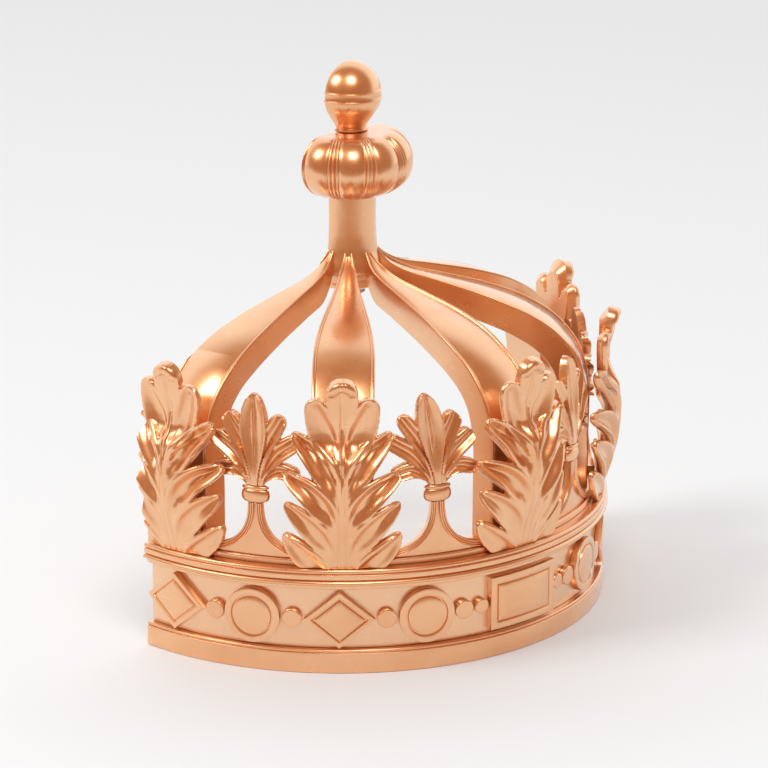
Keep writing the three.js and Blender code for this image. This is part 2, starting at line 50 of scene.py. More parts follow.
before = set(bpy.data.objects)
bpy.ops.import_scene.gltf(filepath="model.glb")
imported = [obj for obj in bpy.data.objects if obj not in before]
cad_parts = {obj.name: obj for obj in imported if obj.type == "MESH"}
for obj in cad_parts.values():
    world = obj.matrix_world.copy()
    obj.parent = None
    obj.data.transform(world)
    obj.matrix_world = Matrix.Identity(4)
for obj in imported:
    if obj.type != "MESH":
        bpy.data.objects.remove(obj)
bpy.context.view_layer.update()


# ------------------------------------------------------------------ places read from the frame

def band_circle():
    """The band's centre, the outside radius of its base rim and the flat back's y."""
    lo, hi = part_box("base_rim")
    depth, half = hi.y - lo.y, (hi.x - lo.x) / 2
    radius = (depth + half * half / depth) / 2
    return lo.y + radius, radius, hi.y


CENTRE_Y, RIM_RADIUS, BACK = band_circle()
SETBACK = CENTRE_Y - BACK
FLAT_GAP = 0.2 * MM  # pieces end this far inside the flat back, so that no two cuts share a plane
CREASE = math.radians(38)  # edges sharper than this stay crisp
CAST_CORNER = 0.8 * MM  # rounding of the band's cast corners
CAST_EDGE = 0.9 * MM  # rounding of a carved plate's outline


def span(node_name):
    """(angles, radii, heights) that a node covers about the band's centre, each (least, most)."""
    co = np.array([v.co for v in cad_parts[node_name].data.vertices])
    angle = np.arctan2(co[:, 0], CENTRE_Y - co[:, 1])
    radius = np.hypot(co[:, 0], CENTRE_Y - co[:, 1])
    return [(values.min(), values.max()) for values in (angle, radius, co[:, 2])]


def heights(node_name):
    """A node's least and greatest height."""
    low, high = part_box(node_name)
    return low.z, high.z


def on_ring(angle, radius, z):
    """Points at an angle, radius and height about the band's centre."""
    angle, radius, z = np.broadcast_arrays(angle, radius, z)
    return np.stack([radius * np.sin(angle), CENTRE_Y - radius * np.cos(angle), z], axis=-1)


# ------------------------------------------------------------------ mesh tools

def smooth(low, high, value):
    """A share that eases from 0 at low to 1 at high."""
    share = np.clip((value - low) / (high - low), 0, 1)
    return share * share * (3 - 2 * share)


def spline(points, shares):
    """Values at shares 0..1 of a smooth curve through points, evenly by distance along it."""
    points = np.asarray(points, float)
    gaps = np.linalg.norm(np.diff(points, axis=0), axis=1) ** 0.5
    knots = np.concatenate([[0], np.cumsum(gaps)])
    slopes = np.gradient(points, knots, axis=0)
    fine = np.linspace(0, knots[-1], 400)
    at = np.clip(np.searchsorted(knots, fine, side="right") - 1, 0, len(points) - 2)
    width = (knots[at + 1] - knots[at])[:, None]
    t = (fine[:, None] - knots[at][:, None]) / width
    curve = ((2 * t ** 3 - 3 * t ** 2 + 1) * points[at] + (t ** 3 - 2 * t ** 2 + t) * width * slopes[at]
             + (3 * t ** 2 - 2 * t ** 3) * points[at + 1] + (t ** 3 - t ** 2) * width * slopes[at + 1])
    along = np.concatenate([[0], np.cumsum(np.linalg.norm(np.diff(curve, axis=0), axis=1))])
    wanted = np.asarray(shares) * along[-1]
    return np.stack([np.interp(wanted, along, curve[:, i]) for i in range(points.shape[1])], axis=-1)


def graded(table, place):
    """Reads a table of (place, value) pairs at any place between them."""
    places, values = zip(*table)
    return np.interp(place, places, values)


def edge_drop(depth):
    """How far a carved face drops towards its rounded outline, at a depth inside the outline."""
    share = np.clip(depth / CAST_EDGE, 0, 1)
    return CAST_EDGE * (1 - np.sqrt(1 - (1 - share) ** 2))


def softened(points, radius, steps=3):
    """A closed outline with each corner rounded off; a corner's own radius may be its third value."""
    result = []
    count = len(points)
    for i, corner in enumerate(points):
        here = np.array(corner[:2], float)
        size = corner[2] if len(corner) > 2 else radius
        before = np.array(points[i - 1][:2], float) - here
        after = np.array(points[(i + 1) % count][:2], float) - here
        if size <= 0:
            result.append(tuple(here))
            continue
        start = here + before * min(0.45, size / np.linalg.norm(before))
        end = here + after * min(0.45, size / np.linalg.norm(after))
        for k in range(steps + 1):
            t = k / steps
            result.append(tuple((1 - t) ** 2 * start + 2 * t * (1 - t) * here + t * t * end))
    return result


def bead(radius, low, high, swell, steps=8):
    """A half-round bead's corners from its lower edge to its upper edge, kept sharp at both."""
    turns = np.linspace(0, math.pi, steps + 1)
    return [(radius + swell * math.sin(t), low + (high - low) * (1 - math.cos(t)) / 2, 0) for t in turns]


def loft(rows, closed=True, caps=True):
    """Points and faces of a surface through rows of points, each a loop or an open line."""
    rows = np.asarray(rows, float)
    count, size = rows.shape[:2]
    faces = []
    for i in range(count - 1):
        for j in range(size if closed else size - 1):
            k = (j + 1) % size
            faces.append((i * size + j, i * size + k, (i + 1) * size + k, (i + 1) * size + j))
    if caps:
        faces.append(tuple(reversed(range(size))))
        faces.append(tuple(range((count - 1) * size, count * size)))
    return rows.reshape(-1, 3), faces


def made(name, parts, replaces, finish=None):
    """One mesh object from (points, faces) parts: it rides, replaces its CAD nodes and has its finish."""
    points, faces, base = [], [], 0
    for part_points, part_faces in parts:
        points.extend(map(tuple, part_points))
        faces.extend(tuple(base + i for i in face) for face in part_faces)
        base = len(points)
    mesh = bpy.data.meshes.new(name)
    mesh.from_pydata(points, [], faces)
    mesh.validate()
    piece = bpy.data.objects.new(name, mesh)
    bpy.context.scene.collection.objects.link(piece)
    bpy.context.view_layer.objects.active = piece
    tool = bmesh.new()
    tool.from_mesh(mesh)
    bmesh.ops.recalc_face_normals(tool, faces=tool.faces)
    tool.to_mesh(mesh)
    tool.free()
    mesh.polygons.foreach_set("use_smooth", [True] * len(mesh.polygons))
    mesh.set_sharp_from_angle(angle=CREASE)
    mesh.materials.append(finish or satin_copper())
    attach(piece, "root")
    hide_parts(*replaces)
    return piece


# ------------------------------------------------------------------ finishes

# A colour mix's sockets by number, because its names stand for several sockets each.
FACTOR, FIRST, SECOND, MIXED = 0, 6, 7, 2
COLOURS = {"data_type": "RGBA"}
DOT = {"operation": "DOT_PRODUCT"}
EASED = {"interpolation_type": "SMOOTHSTEP"}


def linear(code):
    """An sRGB hex colour as linear RGBA."""
    parts = [int(code[i:i + 2], 16) / 255 for i in (0, 2, 4)]
    return (*[c / 12.92 if c <= 0.04045 else ((c + 0.055) / 1.055) ** 2.4 for c in parts], 1.0)


def fill(tree, target, inputs):
    """Gives each named or numbered input of a node a link or a value."""
    for name, value in inputs.items():
        if isinstance(value, bpy.types.NodeSocket):
            tree.links.new(value, target.inputs[name])
        else:
            target.inputs[name].default_value = value


def node(tree, kind, inputs, settings=None, stops=()):
    """Adds a node with its inputs, its settings and, for a ramp, its two (place, colour) stops."""
    new_node = tree.nodes.new(kind)
    for name, value in (settings or {}).items():
        setattr(new_node, name, value)
    fill(tree, new_node, inputs)
    if stops:
        for element, (place, tone) in zip(new_node.color_ramp.elements, stops):
            element.position = place
            element.color = tone
    return new_node


def blank_material(name):
    """A material with its tree and shader, or without them when the material is already made."""
    material = bpy.data.materials.get(name)
    if material:
        return material, None, None
    material = bpy.data.materials.new(name)
    material.use_nodes = True
    tree = material.node_tree
    return material, tree, tree.nodes["Principled BSDF"]


def satin_copper():
    """Metallic copper paint under clear lacquer, sprayed on cast resin: warm, satin, softly mirrored.

    The flakes glow orange where nothing bright is reflected, and the lacquer lays a pale sheen over
    them where something is. The tone drifts a little, the film has a faint orange peel, and the
    paint rubs paler on the raised edges.
    """
    paint = bpy.context.scene.crown_paint
    material, tree, shader = blank_material("satin_copper_paint")
    if tree is None:
        return material
    place = node(tree, "ShaderNodeTexCoord", {}).outputs["Object"]
    drift = node(tree, "ShaderNodeTexNoise", {
        "Vector": place, "Scale": 1 / (60 * MM), "Detail": 3.0, "Roughness": 0.5})
    flake = node(tree, "ShaderNodeTexNoise", {
        "Vector": place, "Scale": 1 / (14 * MM), "Detail": 3.0, "Roughness": 0.6})
    peel = node(tree, "ShaderNodeTexNoise", {
        "Vector": place, "Scale": 1 / paint.peel_size, "Detail": 1.0, "Roughness": 0.4})
    tone = node(tree, "ShaderNodeValToRGB", {"Fac": drift.outputs["Fac"]},
                stops=[(0.35, (*paint.shade_colour, 1)), (0.6, (*paint.colour, 1))])
    raised = node(tree, "ShaderNodeNewGeometry", {}).outputs["Pointiness"]
    wear = node(tree, "ShaderNodeValToRGB", {"Fac": raised},
                stops=[(0.52, (0, 0, 0, 1)), (0.62, (1, 1, 1, 1))])
    worn = node(tree, "ShaderNodeMix", {
        FACTOR: wear.outputs["Color"], FIRST: tone.outputs["Color"],
        SECOND: (*paint.edge_colour, 1)}, COLOURS)
    rough = node(tree, "ShaderNodeMapRange", {
        "Value": flake.outputs["Fac"], "From Min": 0.3, "From Max": 0.7,
        "To Min": paint.roughness - 0.03, "To Max": paint.roughness + 0.05})
    film = node(tree, "ShaderNodeBump", {
        "Height": peel.outputs["Fac"], "Strength": 0.2, "Distance": 0.02 * MM})
    waver = node(tree, "ShaderNodeBump", {
        "Height": flake.outputs["Fac"], "Normal": film.outputs["Normal"],
        "Strength": 0.3, "Distance": 0.12 * MM})
    fill(tree, shader, {
        "Base Color": worn.outputs[MIXED], "Roughness": rough.outputs["Result"],
        "Normal": waver.outputs["Normal"], "Metallic": paint.metallic, "Coat Weight": 1.0,
        "Coat Roughness": paint.lacquer_roughness, "Coat IOR": 1.8})
    return material


def brushed_steel():
    """Zinc-plated mild steel, brushed along its length: grey, fairly dull, with fine straight lines."""
    material, tree, shader = blank_material("brushed_zinc_plated_steel")
    if tree is None:
        return material
    place = node(tree, "ShaderNodeTexCoord", {}).outputs["Object"]
    stretch = node(tree, "ShaderNodeMapping", {"Vector": place, "Scale": (1, 1, 0.04)})
    lines = node(tree, "ShaderNodeTexNoise", {
        "Vector": stretch.outputs["Vector"], "Scale": 1 / (0.6 * MM), "Detail": 3.0, "Roughness": 0.6})
    cloud = node(tree, "ShaderNodeTexNoise", {"Vector": place, "Scale": 1 / (9 * MM), "Detail": 3.0})
    tone = node(tree, "ShaderNodeValToRGB", {"Fac": cloud.outputs["Fac"]},
                stops=[(0.35, linear("8C9096")), (0.65, linear("B9BBBD"))])
    rough = node(tree, "ShaderNodeMapRange", {
        "Value": lines.outputs["Fac"], "To Min": 0.3, "To Max": 0.48})
    grain = node(tree, "ShaderNodeBump", {
        "Height": lines.outputs["Fac"], "Strength": 0.2, "Distance": 0.05 * MM})
    fill(tree, shader, {
        "Base Color": tone.outputs["Color"], "Roughness": rough.outputs["Result"],
        "Normal": grain.outputs["Normal"], "Metallic": 1.0})
    return material


# ------------------------------------------------------------------ band

RING_STEPS = 160


def half_ring(section, short=0):
    """A closed [radius, z] section carried round the half ring, and ending short of the flat back."""
    section = np.asarray(section, float)
    ends = np.arccos((SETBACK + short) / section[:, 0])
    shares = np.linspace(-1, 1, RING_STEPS + 1)[:, None]
    return loft(on_ring(shares * ends, section[:, 0], section[:, 1]))


def cast_ring(node_name, section, short=0):
    """Makes a piece of the band from its section's corners."""
    made(f"{node_name}_cast", [half_ring(softened(section, CAST_CORNER), short)], [node_name])


def make_base_rim():
    sizes = bpy.context.scene.crown_band
    low, high = heights("base_rim")
    inner = RIM_RADIUS - sizes.wall
    shoulder = high - sizes.rim_bead
    bead_foot = RIM_RADIUS - 1.1 * MM
    section = [(inner, low), (RIM_RADIUS, low, 1.2 * MM), (RIM_RADIUS, shoulder, 0.5 * MM),
               (bead_foot, shoulder + 0.2 * MM, 0),
               *bead(bead_foot, shoulder + 0.5 * MM, high, 1.0 * MM),
               (bead_foot - 1.3 * MM, high, 0), (inner, high)]
    cast_ring("base_rim", section)


def make_frieze():
    sizes = bpy.context.scene.crown_band
    low, high = heights("frieze_band")
    outer = span("frieze_band")[1][1]
    inner = RIM_RADIUS - sizes.wall
    section = [(inner, low), (outer, low, 0), (outer, high, 0), (inner, high)]
    plate_stands_out = 0.5 * MM  # the band's ends stop short, so that the hanger plates stand out
    cast_ring("frieze_band", section, plate_stands_out)


def make_top_moulding():
    sizes = bpy.context.scene.crown_band
    low, high = heights("top_moulding")
    outer = span("top_moulding")[1][1]
    inner = RIM_RADIUS - sizes.wall
    rise = high - low
    fillet, big, flat = low + 0.19 * rise, low + 0.47 * rise, low + 0.76 * rise  # their top edges
    set_in, quirk, stands_out = RIM_RADIUS - 0.6 * MM, RIM_RADIUS + 0.6 * MM, RIM_RADIUS + 2.2 * MM
    section = [
        (inner, low), (set_in, low, 0.7 * MM), (set_in, fillet, 0.5 * MM),
        (quirk - 1.4 * MM, fillet + 0.1 * MM, 0), *bead(quirk, fillet + 0.4 * MM, big, outer - quirk, 12),
        (quirk - 0.4 * MM, big + 0.1 * MM, 0), (quirk, big + 0.55 * MM, 0),
        (stands_out, big + 0.7 * MM, 0.5 * MM), (stands_out, flat, 0.5 * MM),
        (stands_out - 1.5 * MM, flat + 0.2 * MM, 0),
        *bead(stands_out - 1.3 * MM, flat + 0.6 * MM, high, 1.3 * MM),
        (set_in, high, 0.4 * MM), (inner, high)]
    cast_ring("top_moulding", section)


def make_crest_ledge():
    sizes = bpy.context.scene.crown_band
    low, high = heights("crest_ledge")
    outer = span("crest_ledge")[1][1]
    inner = RIM_RADIUS - sizes.wall
    section = [(inner, low), (outer, low, 0), (outer, high, 1.2 * MM), (inner, high, 1.2 * MM)]
    cast_ring("crest_ledge", section)


# ------------------------------------------------------------------ jewels

def circle_outline(radius, steps=96):
    """Points round a circle, across and up."""
    turns = np.linspace(0, 2 * math.pi, steps, endpoint=False)
    return np.stack([radius * np.cos(turns), radius * np.sin(turns)], axis=-1)


def polygon_outline(corners, steps=24):
    """Points along each side of a polygon, steps to a side."""
    corners = np.asarray(corners, float)
    shares = np.linspace(0, 1, steps, endpoint=False)[:, None]
    return np.concatenate([
        a + (b - a) * shares for a, b in zip(corners, np.roll(corners, -1, axis=0))])


def jewel(name, outline, profile, node_name):
    """A jewel bent to the band: rings of outline(inset) at each (inset, lift), closed at the middle."""
    (first, last), (seat, _), (low, high) = span(node_name)
    angle, middle = (first + last) / 2, (low + high) / 2

    def ring(points, lift):
        x, z = points.T
        return on_ring(angle + x / seat, seat + lift, middle + z)
    back, (inmost, top) = outline(0), profile[-1]
    rows = [ring(back * share, 0) for share in (0.25, 0.6, 0.97)]
    rows += [ring(outline(inset), lift) for inset, lift in profile]
    rows += [ring(outline(inmost) * share, top) for share in (0.6, 0.25)]
    made(name, [loft(rows)], [node_name])


def framed(border, relief, groove, depth):
    """(inset, lift) steps of a side wall, a flat border, a groove and a raised inner panel."""
    edge = 0.5 * MM
    return [(0, 0), (0, relief - edge), (edge * 0.3, relief - edge * 0.3), (edge, relief),
            (border - edge, relief), (border, relief - edge * 0.5), (border + groove * 0.3, relief - depth),
            (border + groove * 0.7, relief - depth), (border + groove, relief - edge * 0.5),
            (border + groove + edge, relief)]


def make_rectangle_plaque():
    sizes = bpy.context.scene.crown_jewels
    (first, last), (seat, top), (low, high) = span("rectangle_plaque")
    width, height = (last - first) * seat, high - low

    def outline(inset):
        x, z = width / 2 - inset, height / 2 - inset
        return polygon_outline([(x, -z), (x, z), (-x, z), (-x, -z)])
    profile = framed(sizes.plaque_border, top - seat, sizes.groove, sizes.groove_depth)
    jewel("rectangle_plaque_cast", outline, profile, "rectangle_plaque")


def make_round_plaques():
    sizes = bpy.context.scene.crown_jewels
    for side in SIDES:
        for number in (1, 2):
            name = f"round_{side}_{number}"
            _, (seat, top), (low, high) = span(name)
            profile = framed(sizes.round_border, top - seat, sizes.groove, sizes.groove_depth)
            jewel(f"{name}_cast", lambda inset: circle_outline((high - low) / 2 - inset), profile, name)


def make_lozenge_plaques():
    sizes = bpy.context.scene.crown_jewels
    for side in SIDES:
        for number in (1, 2):
            name = f"lozenge_{side}_{number}"
            (first, last), (seat, top), (low, high) = span(name)
            x, z = (last - first) * seat / 2, (high - low) / 2
            slope = math.hypot(x, z) / (x * z)  # an inset moves each corner in by the same share

            def outline(inset):
                share = 1 - inset * slope
                return polygon_outline([(x * share, 0), (0, z * share), (-x * share, 0), (0, -z * share)])
            profile = framed(sizes.lozenge_border, top - seat, sizes.groove, sizes.groove_depth)
            jewel(f"{name}_cast", outline, profile, name)


def make_discs():
    for side in SIDES:
        for name in (f"small_disc_{side}_1", *(f"disc_{side}_{number}" for number in range(1, 5))):
            _, (seat, top), (low, high) = span(name)
            radius, relief = (high - low) / 2, top - seat
            round_off = 1.1 * MM
            profile = [(0, 0), (0, relief - round_off), (round_off * 0.12, relief - round_off * 0.5),
                       (round_off * 0.5, relief - round_off * 0.12), (round_off * 1.2, relief)]
            jewel(f"{name}_cast", lambda inset: circle_outline(radius - inset, 64), profile, name)


# ------------------------------------------------------------------ relief plates

def frond(points, width, foot=0.3, swell=0.55, tip=0.62, taper=0.62):
    """A lobe as discs strung along a midline: places, radii, directions and shares from root to tip."""
    shares = np.linspace(0, 1, 72)
    places = spline(points, shares)
    ways = np.gradient(places, axis=0)
    ways /= np.linalg.norm(ways, axis=1)[:, None]
    radii = width * (foot + (1 - foot) * smooth(0, swell, shares))
    tail = np.clip((shares - taper) / (1 - taper), 0, 1)
    radii = radii * np.sqrt(1 - (1 - tip ** 2) * tail ** 2)
    return places, radii, ways, shares


def frond_at(lobe, u, v):
    """At each point: depth inside the lobe's outline, place across it (-1 to 1) and along it (0 to 1)."""
    places, radii, ways, shares = lobe
    across = u[:, None] - places[None, :, 0]
    up = v[:, None] - places[None, :, 1]
    inside = radii[None, :] - np.hypot(across, up)
    best = np.argmax(inside, axis=1)
    rows = np.arange(len(u))
    side = (up * ways[None, :, 0] - across * ways[None, :, 1])[rows, best] / radii[best]
    return inside[rows, best], side, shares[best]


def relief_plate(field, front, back, low, high, step):
    """A closed plate over the part of a grid where field is positive, as flat (u, v, height) points.

    Cells that the outline crosses are cut where the field is nought, and a wall joins the two faces.
    """
    us = np.arange(low[0], high[0] + step, step)
    vs = np.arange(low[1], high[1] + step, step)
    grid_u, grid_v = np.meshgrid(us, vs, indexing="ij")
    value = field(grid_u.ravel(), grid_v.ravel()).reshape(grid_u.shape)
    near = 0.12 * step
    value = np.where(np.abs(value) < near, near, value)
    value[0, :] = value[-1, :] = value[:, -1] = -near
    points, index, faces, edges = [], {}, [], []

    def corner(i, j):
        if (i, j) not in index:
            index[i, j] = len(points)
            points.append((us[i], vs[j]))
        return index[i, j]

    def crossing(a, b):
        key = (a, b) if a < b else (b, a)
        if key not in index:
            (i, j), (k, m) = key
            t = value[i, j] / (value[i, j] - value[k, m])
            index[key] = len(points)
            points.append((us[i] + t * (us[k] - us[i]), vs[j] + t * (vs[m] - vs[j])))
        return index[key]

    wet = value > 0
    some = wet[:-1, :-1] | wet[1:, :-1] | wet[:-1, 1:] | wet[1:, 1:]
    for i, j in zip(*np.nonzero(some)):
        ring = [(i, j), (i + 1, j), (i + 1, j + 1), (i, j + 1)]
        face, leaving = [], None
        for a, b in zip(ring, ring[1:] + ring[:1]):
            if wet[a]:
                face.append(corner(*a))
            if wet[a] != wet[b]:
                cross = crossing(a, b)
                face.append(cross)
                if wet[a]:
                    leaving = cross
                elif leaving is not None:
                    edges.append((leaving, cross))
                    leaving = None
                else:
                    opening = cross
        if leaving is not None:
            edges.append((leaving, opening))
        faces.append(tuple(face))
    flat = np.array(points)
    count = len(flat)
    face_up = np.column_stack([flat, front(flat[:, 0], flat[:, 1])])
    face_down = np.column_stack([flat, back(flat[:, 0], flat[:, 1])])
    faces = faces + [tuple(count + i for i in reversed(face)) for face in faces]
    faces += [(a, count + a, count + b, b) for a, b in edges]
    return np.concatenate([face_up, face_down]), faces


# ------------------------------------------------------------------ leaves

# One side's lobes from the foot up: the midline from the rib to the lobe's end, in millimetres
# across and up, the lobe's half-width, and its tip's width as a share of that.
LEAF_LOBES = [
    ([(3, -9), (15, -1), (29, 9.5), (40, 19.5)], 9.4, 0.42),
    ([(4, 0), (13, 20), (25, 34), (38, 44.5)], 10.2, 0.45),
    ([(3.5, 22), (10, 43), (22.5, 58.5), (38.5, 68.5)], 10.4, 0.45),
    ([(3.2, 48), (8.5, 69), (18.5, 85.5), (32.5, 99)], 10.2, 0.45),
    ([(3, 74), (8, 92), (13, 105), (18.2, 119.5)], 12.0, 0.72),
]
LEAF_SCOOPS = (0.6, 1.6, 3.2, 3.6, 1.4)  # how far each lobe's lower lip stands out
LEAF_HOLLOWS = (0.25, 0.55, 1.0, 1.0, 0.6)  # how deep each lobe is carved, as a share of the deepest
LEAF_CROWN_LOBE = ([(0, 70), (0, 92), (0, 112), (0, 131)], 12.4, 0.9)
# The rib's face in side view: up from the foot and out from the seat.
LEAF_RIB = [(0, 0.5), (15, 4.0), (36, 9.6), (56, 12.0), (84, 10.4), (104, 7.8), (120, 7.4), (134, 8.6),
            (146, 11.0)]


# The leaf's solid middle: its half-width in millimetres, at shares of the leaf's height.
LEAF_BODY = [(0, 24.5), (0.12, 21.0), (0.25, 14.0), (0.46, 11.0), (0.62, 8.0), (0.85, 4.0)]
# How far the ends of the lobes sweep back, in millimetres, at shares of the leaf's height.
LEAF_SWEEP = [(0, 1), (0.1, 4), (0.25, 8), (0.45, 11), (0.62, 11), (0.72, 9), (0.8, 9), (0.9, 10), (1, 10)]
LEAF_DRAWN = 146  # height of the leaf that all these are drawn for, in millimetres


def leaf_fields():
    """The leaf's outline field and its front and back heights, over flat points across and up."""
    sizes = bpy.context.scene.crown_leaves
    height = sizes.height
    scale = height / LEAF_DRAWN
    lobe_reach, bowl_reach = 38 * MM, 26 * MM
    lobes = [frond(np.array(points) * scale, width * scale, tip=tip, taper=0.5)
             for points, width, tip in LEAF_LOBES]
    points, width, tip = LEAF_CROWN_LOBE
    crown = frond(np.array(points) * scale, width * scale, foot=0.2, swell=0.75, tip=tip)

    def body(u, v):
        return np.minimum(graded(LEAF_BODY, v / height) * scale - u, LEAF_BODY[-1][0] * height - v)

    def field(u, v):
        u = np.abs(u)
        return np.max([body(u, v), *(frond_at(lobe, u, v)[0] for lobe in [*lobes, crown])], axis=0)

    def dish(u, v):
        """The lobes sweep back from the rib, the higher ones further."""
        return -graded(LEAF_SWEEP, v / height) * MM * (u / lobe_reach) ** 2

    def bowl_share(u):
        return np.clip(1 - (u / bowl_reach) ** 2, 0, 1)

    def front(u, v):
        u = np.abs(u)
        tall = v / height
        relief = np.zeros_like(u)
        for lobe, scoop, carved in zip(lobes, LEAF_SCOOPS, LEAF_HOLLOWS):
            inside, side, along = frond_at(lobe, u, v)
            strength = smooth(0.1, 0.45, along)
            wide = np.max(lobe[1])
            lip = scoop * smooth(0.15, -0.8, side) * smooth(0.25, 0.7, along)
            crest = sizes.ridge * np.exp(-((side - 0.68) / 0.3) ** 2)
            hollow = smooth(0.08, 0.8, inside / wide) * smooth(0.85, 0.35, side)
            shape = strength * (crest + lip * MM - sizes.gutter * hollow * carved)
            weight = smooth(-0.1 * MM, 0.8 * MM, inside)
            relief = relief + weight * (np.where(relief == 0, shape, np.maximum(relief, shape)) - relief)
        bowl = sizes.bowl * smooth(0.55, 0.67, tall) * (1 - 0.85 * smooth(0.69, 0.88, tall))
        relief = relief - bowl * bowl_share(u)
        inside, side, _ = frond_at(crown, u, v)
        in_front = smooth(0, 1.6 * MM, inside) * smooth(0.74, 0.8, tall)
        relief = relief + in_front * (np.minimum(relief, -bowl + 1.5 * MM * side ** 2) - relief)
        roll = np.clip(1 - (inside / sizes.roll - 1) ** 2, 0, 1) * smooth(0.89, 0.93, tall)
        relief = relief + np.where(inside > 0, sizes.roll * 0.7 * np.sqrt(roll), 0)
        rib_half = (2.7 - 1.5 * np.clip(tall, 0, 1)) * MM
        rib = 0.9 * MM * smooth(0.0, 0.3, tall) * smooth(rib_half * 1.3, rib_half * 0.6, u)
        rib = rib - 0.9 * MM * np.exp(-(u / (0.55 * MM)) ** 2) * smooth(0.25, 0.5, tall)
        rib = rib - 0.5 * MM * np.exp(-((u - rib_half) / (0.5 * MM)) ** 2)
        return relief + rib + dish(u, v) - edge_drop(field(u, v))

    def back(u, v):
        """Each lobe's back is as round as an egg, with a deep groove between it and the next."""
        side_u = np.abs(u)
        depth = np.stack([frond_at(lobe, side_u, v)[0] / np.max(lobe[1]) for lobe in [*lobes, crown]])
        swell = np.max(1 - (1 - np.clip(depth, 0, 1)) ** 2, axis=0) * smooth(0, 0.25, v / height)
        bowl = 0.8 * sizes.bowl * smooth(0.55, 0.72, v / height) * bowl_share(u)
        foot = (sizes.thickness - sizes.edge) * smooth(0.3, 0, v / height)
        swell = swell * sizes.back_swell * (1 - 0.8 * smooth(0.86, 0.99, v / height))
        behind = dish(u, v) - sizes.edge - foot - swell - bowl
        return np.minimum(behind, front(u, v) - 0.6 * sizes.edge)  # never thinner than this

    return field, front, back


def make_leaves():
    sizes = bpy.context.scene.crown_leaves
    field, front, back = leaf_fields()
    reach = 46 * MM
    flat, faces = relief_plate(field, front, back, (-reach, 0), (reach, sizes.height), sizes.fineness)
    close_foot(flat, faces)
    seat = span("crest_ledge")[1][1] + sizes.thickness + 0.3 * MM
    fine = spline(np.array(LEAF_RIB) * sizes.height / LEAF_DRAWN, np.linspace(0, 1, 200))
    out = np.interp(flat[:, 1], fine[:, 0], fine[:, 1])
    slope = np.interp(flat[:, 1], fine[:, 0], np.gradient(fine[:, 1], fine[:, 0]))
    steepness = np.hypot(1, slope)
    for number in range(1, 6):
        name = f"leaf_{number}"
        low, _ = heights(name)
        radius = np.maximum(seat + out + flat[:, 2] / steepness, seat - sizes.thickness + 0.6 * MM)
        z = np.maximum(low + flat[:, 1] - flat[:, 2] * slope / steepness, low)
        points = on_ring(leaf_angle(number) + flat[:, 0] / seat, radius, z)
        piece = made(f"{name}_cast", [(points, faces)], [name])
        trim_at_back(piece)


def leaf_angle(number):
    """The middle leaf stands at the front; the others' angles come from the parts the back leaves whole."""
    if number == 3:
        return 0.0
    (first, last), _, _ = span(f"leaf_{number}")
    if number in (2, 4):
        return (first + last) / 2
    inner = last if number == 1 else first
    middle = span("leaf_3")[0]
    return inner + math.copysign((middle[1] - middle[0]) / 2, inner)


def close_foot(flat, faces, level=0.0):
    """Closes the straight foot of a relief plate, whose lowest points lie at v = level, with a wall."""
    count = len(flat) // 2
    foot = [i for i in range(count) if abs(flat[i, 1] - level) < 1e-9]
    foot.sort(key=lambda i: flat[i, 0])
    for a, b in zip(foot, foot[1:]):
        faces.append((a, b, count + b, count + a))


def trim_at_back(piece):
    """Cuts off whatever of a piece lies behind the flat back, and closes the cut."""
    if max(v.co.y for v in piece.data.vertices) <= BACK - FLAT_GAP:
        return
    tool = bmesh.new()
    tool.from_mesh(piece.data)
    cut = bmesh.ops.bisect_plane(
        tool, geom=tool.verts[:] + tool.edges[:] + tool.faces[:], dist=1e-7,
        plane_co=(0, BACK - FLAT_GAP, 0), plane_no=(0, 1, 0), clear_outer=True)
    rim = [e for e in cut["geom_cut"] if isinstance(e, bmesh.types.BMEdge)]
    bmesh.ops.holes_fill(tool, edges=rim, sides=0)
    tool.to_mesh(piece.data)
    tool.free()
    piece.data.set_sharp_from_angle(angle=CREASE)


# ------------------------------------------------------------------ palmettes

# One side's fan lobes from the top down: the midline from the knop to the lobe's end, in millimetres
# across and up, its half-width, and its tip's width as a share of that.
FAN_LOBES = [
    ([(2.2, 5), (4.5, 22), (9.5, 38), (18, 52)], 7.2, 0.92),
    ([(3.2, 5), (8.0, 18), (16.5, 30), (28, 38)], 7.2, 0.92),
    ([(4.0, 5), (9.5, 13), (18.0, 18), (28.5, 16)], 6.0, 0.88),
]
FAN_CROWN_LOBE = ([(0, 5), (0, 26), (0, 48), (0, 69)], 10.6, 0.36)
FAN_LEANS = (-3, -8, 0, 0)  # each fan's tip out of upright, in millimetres
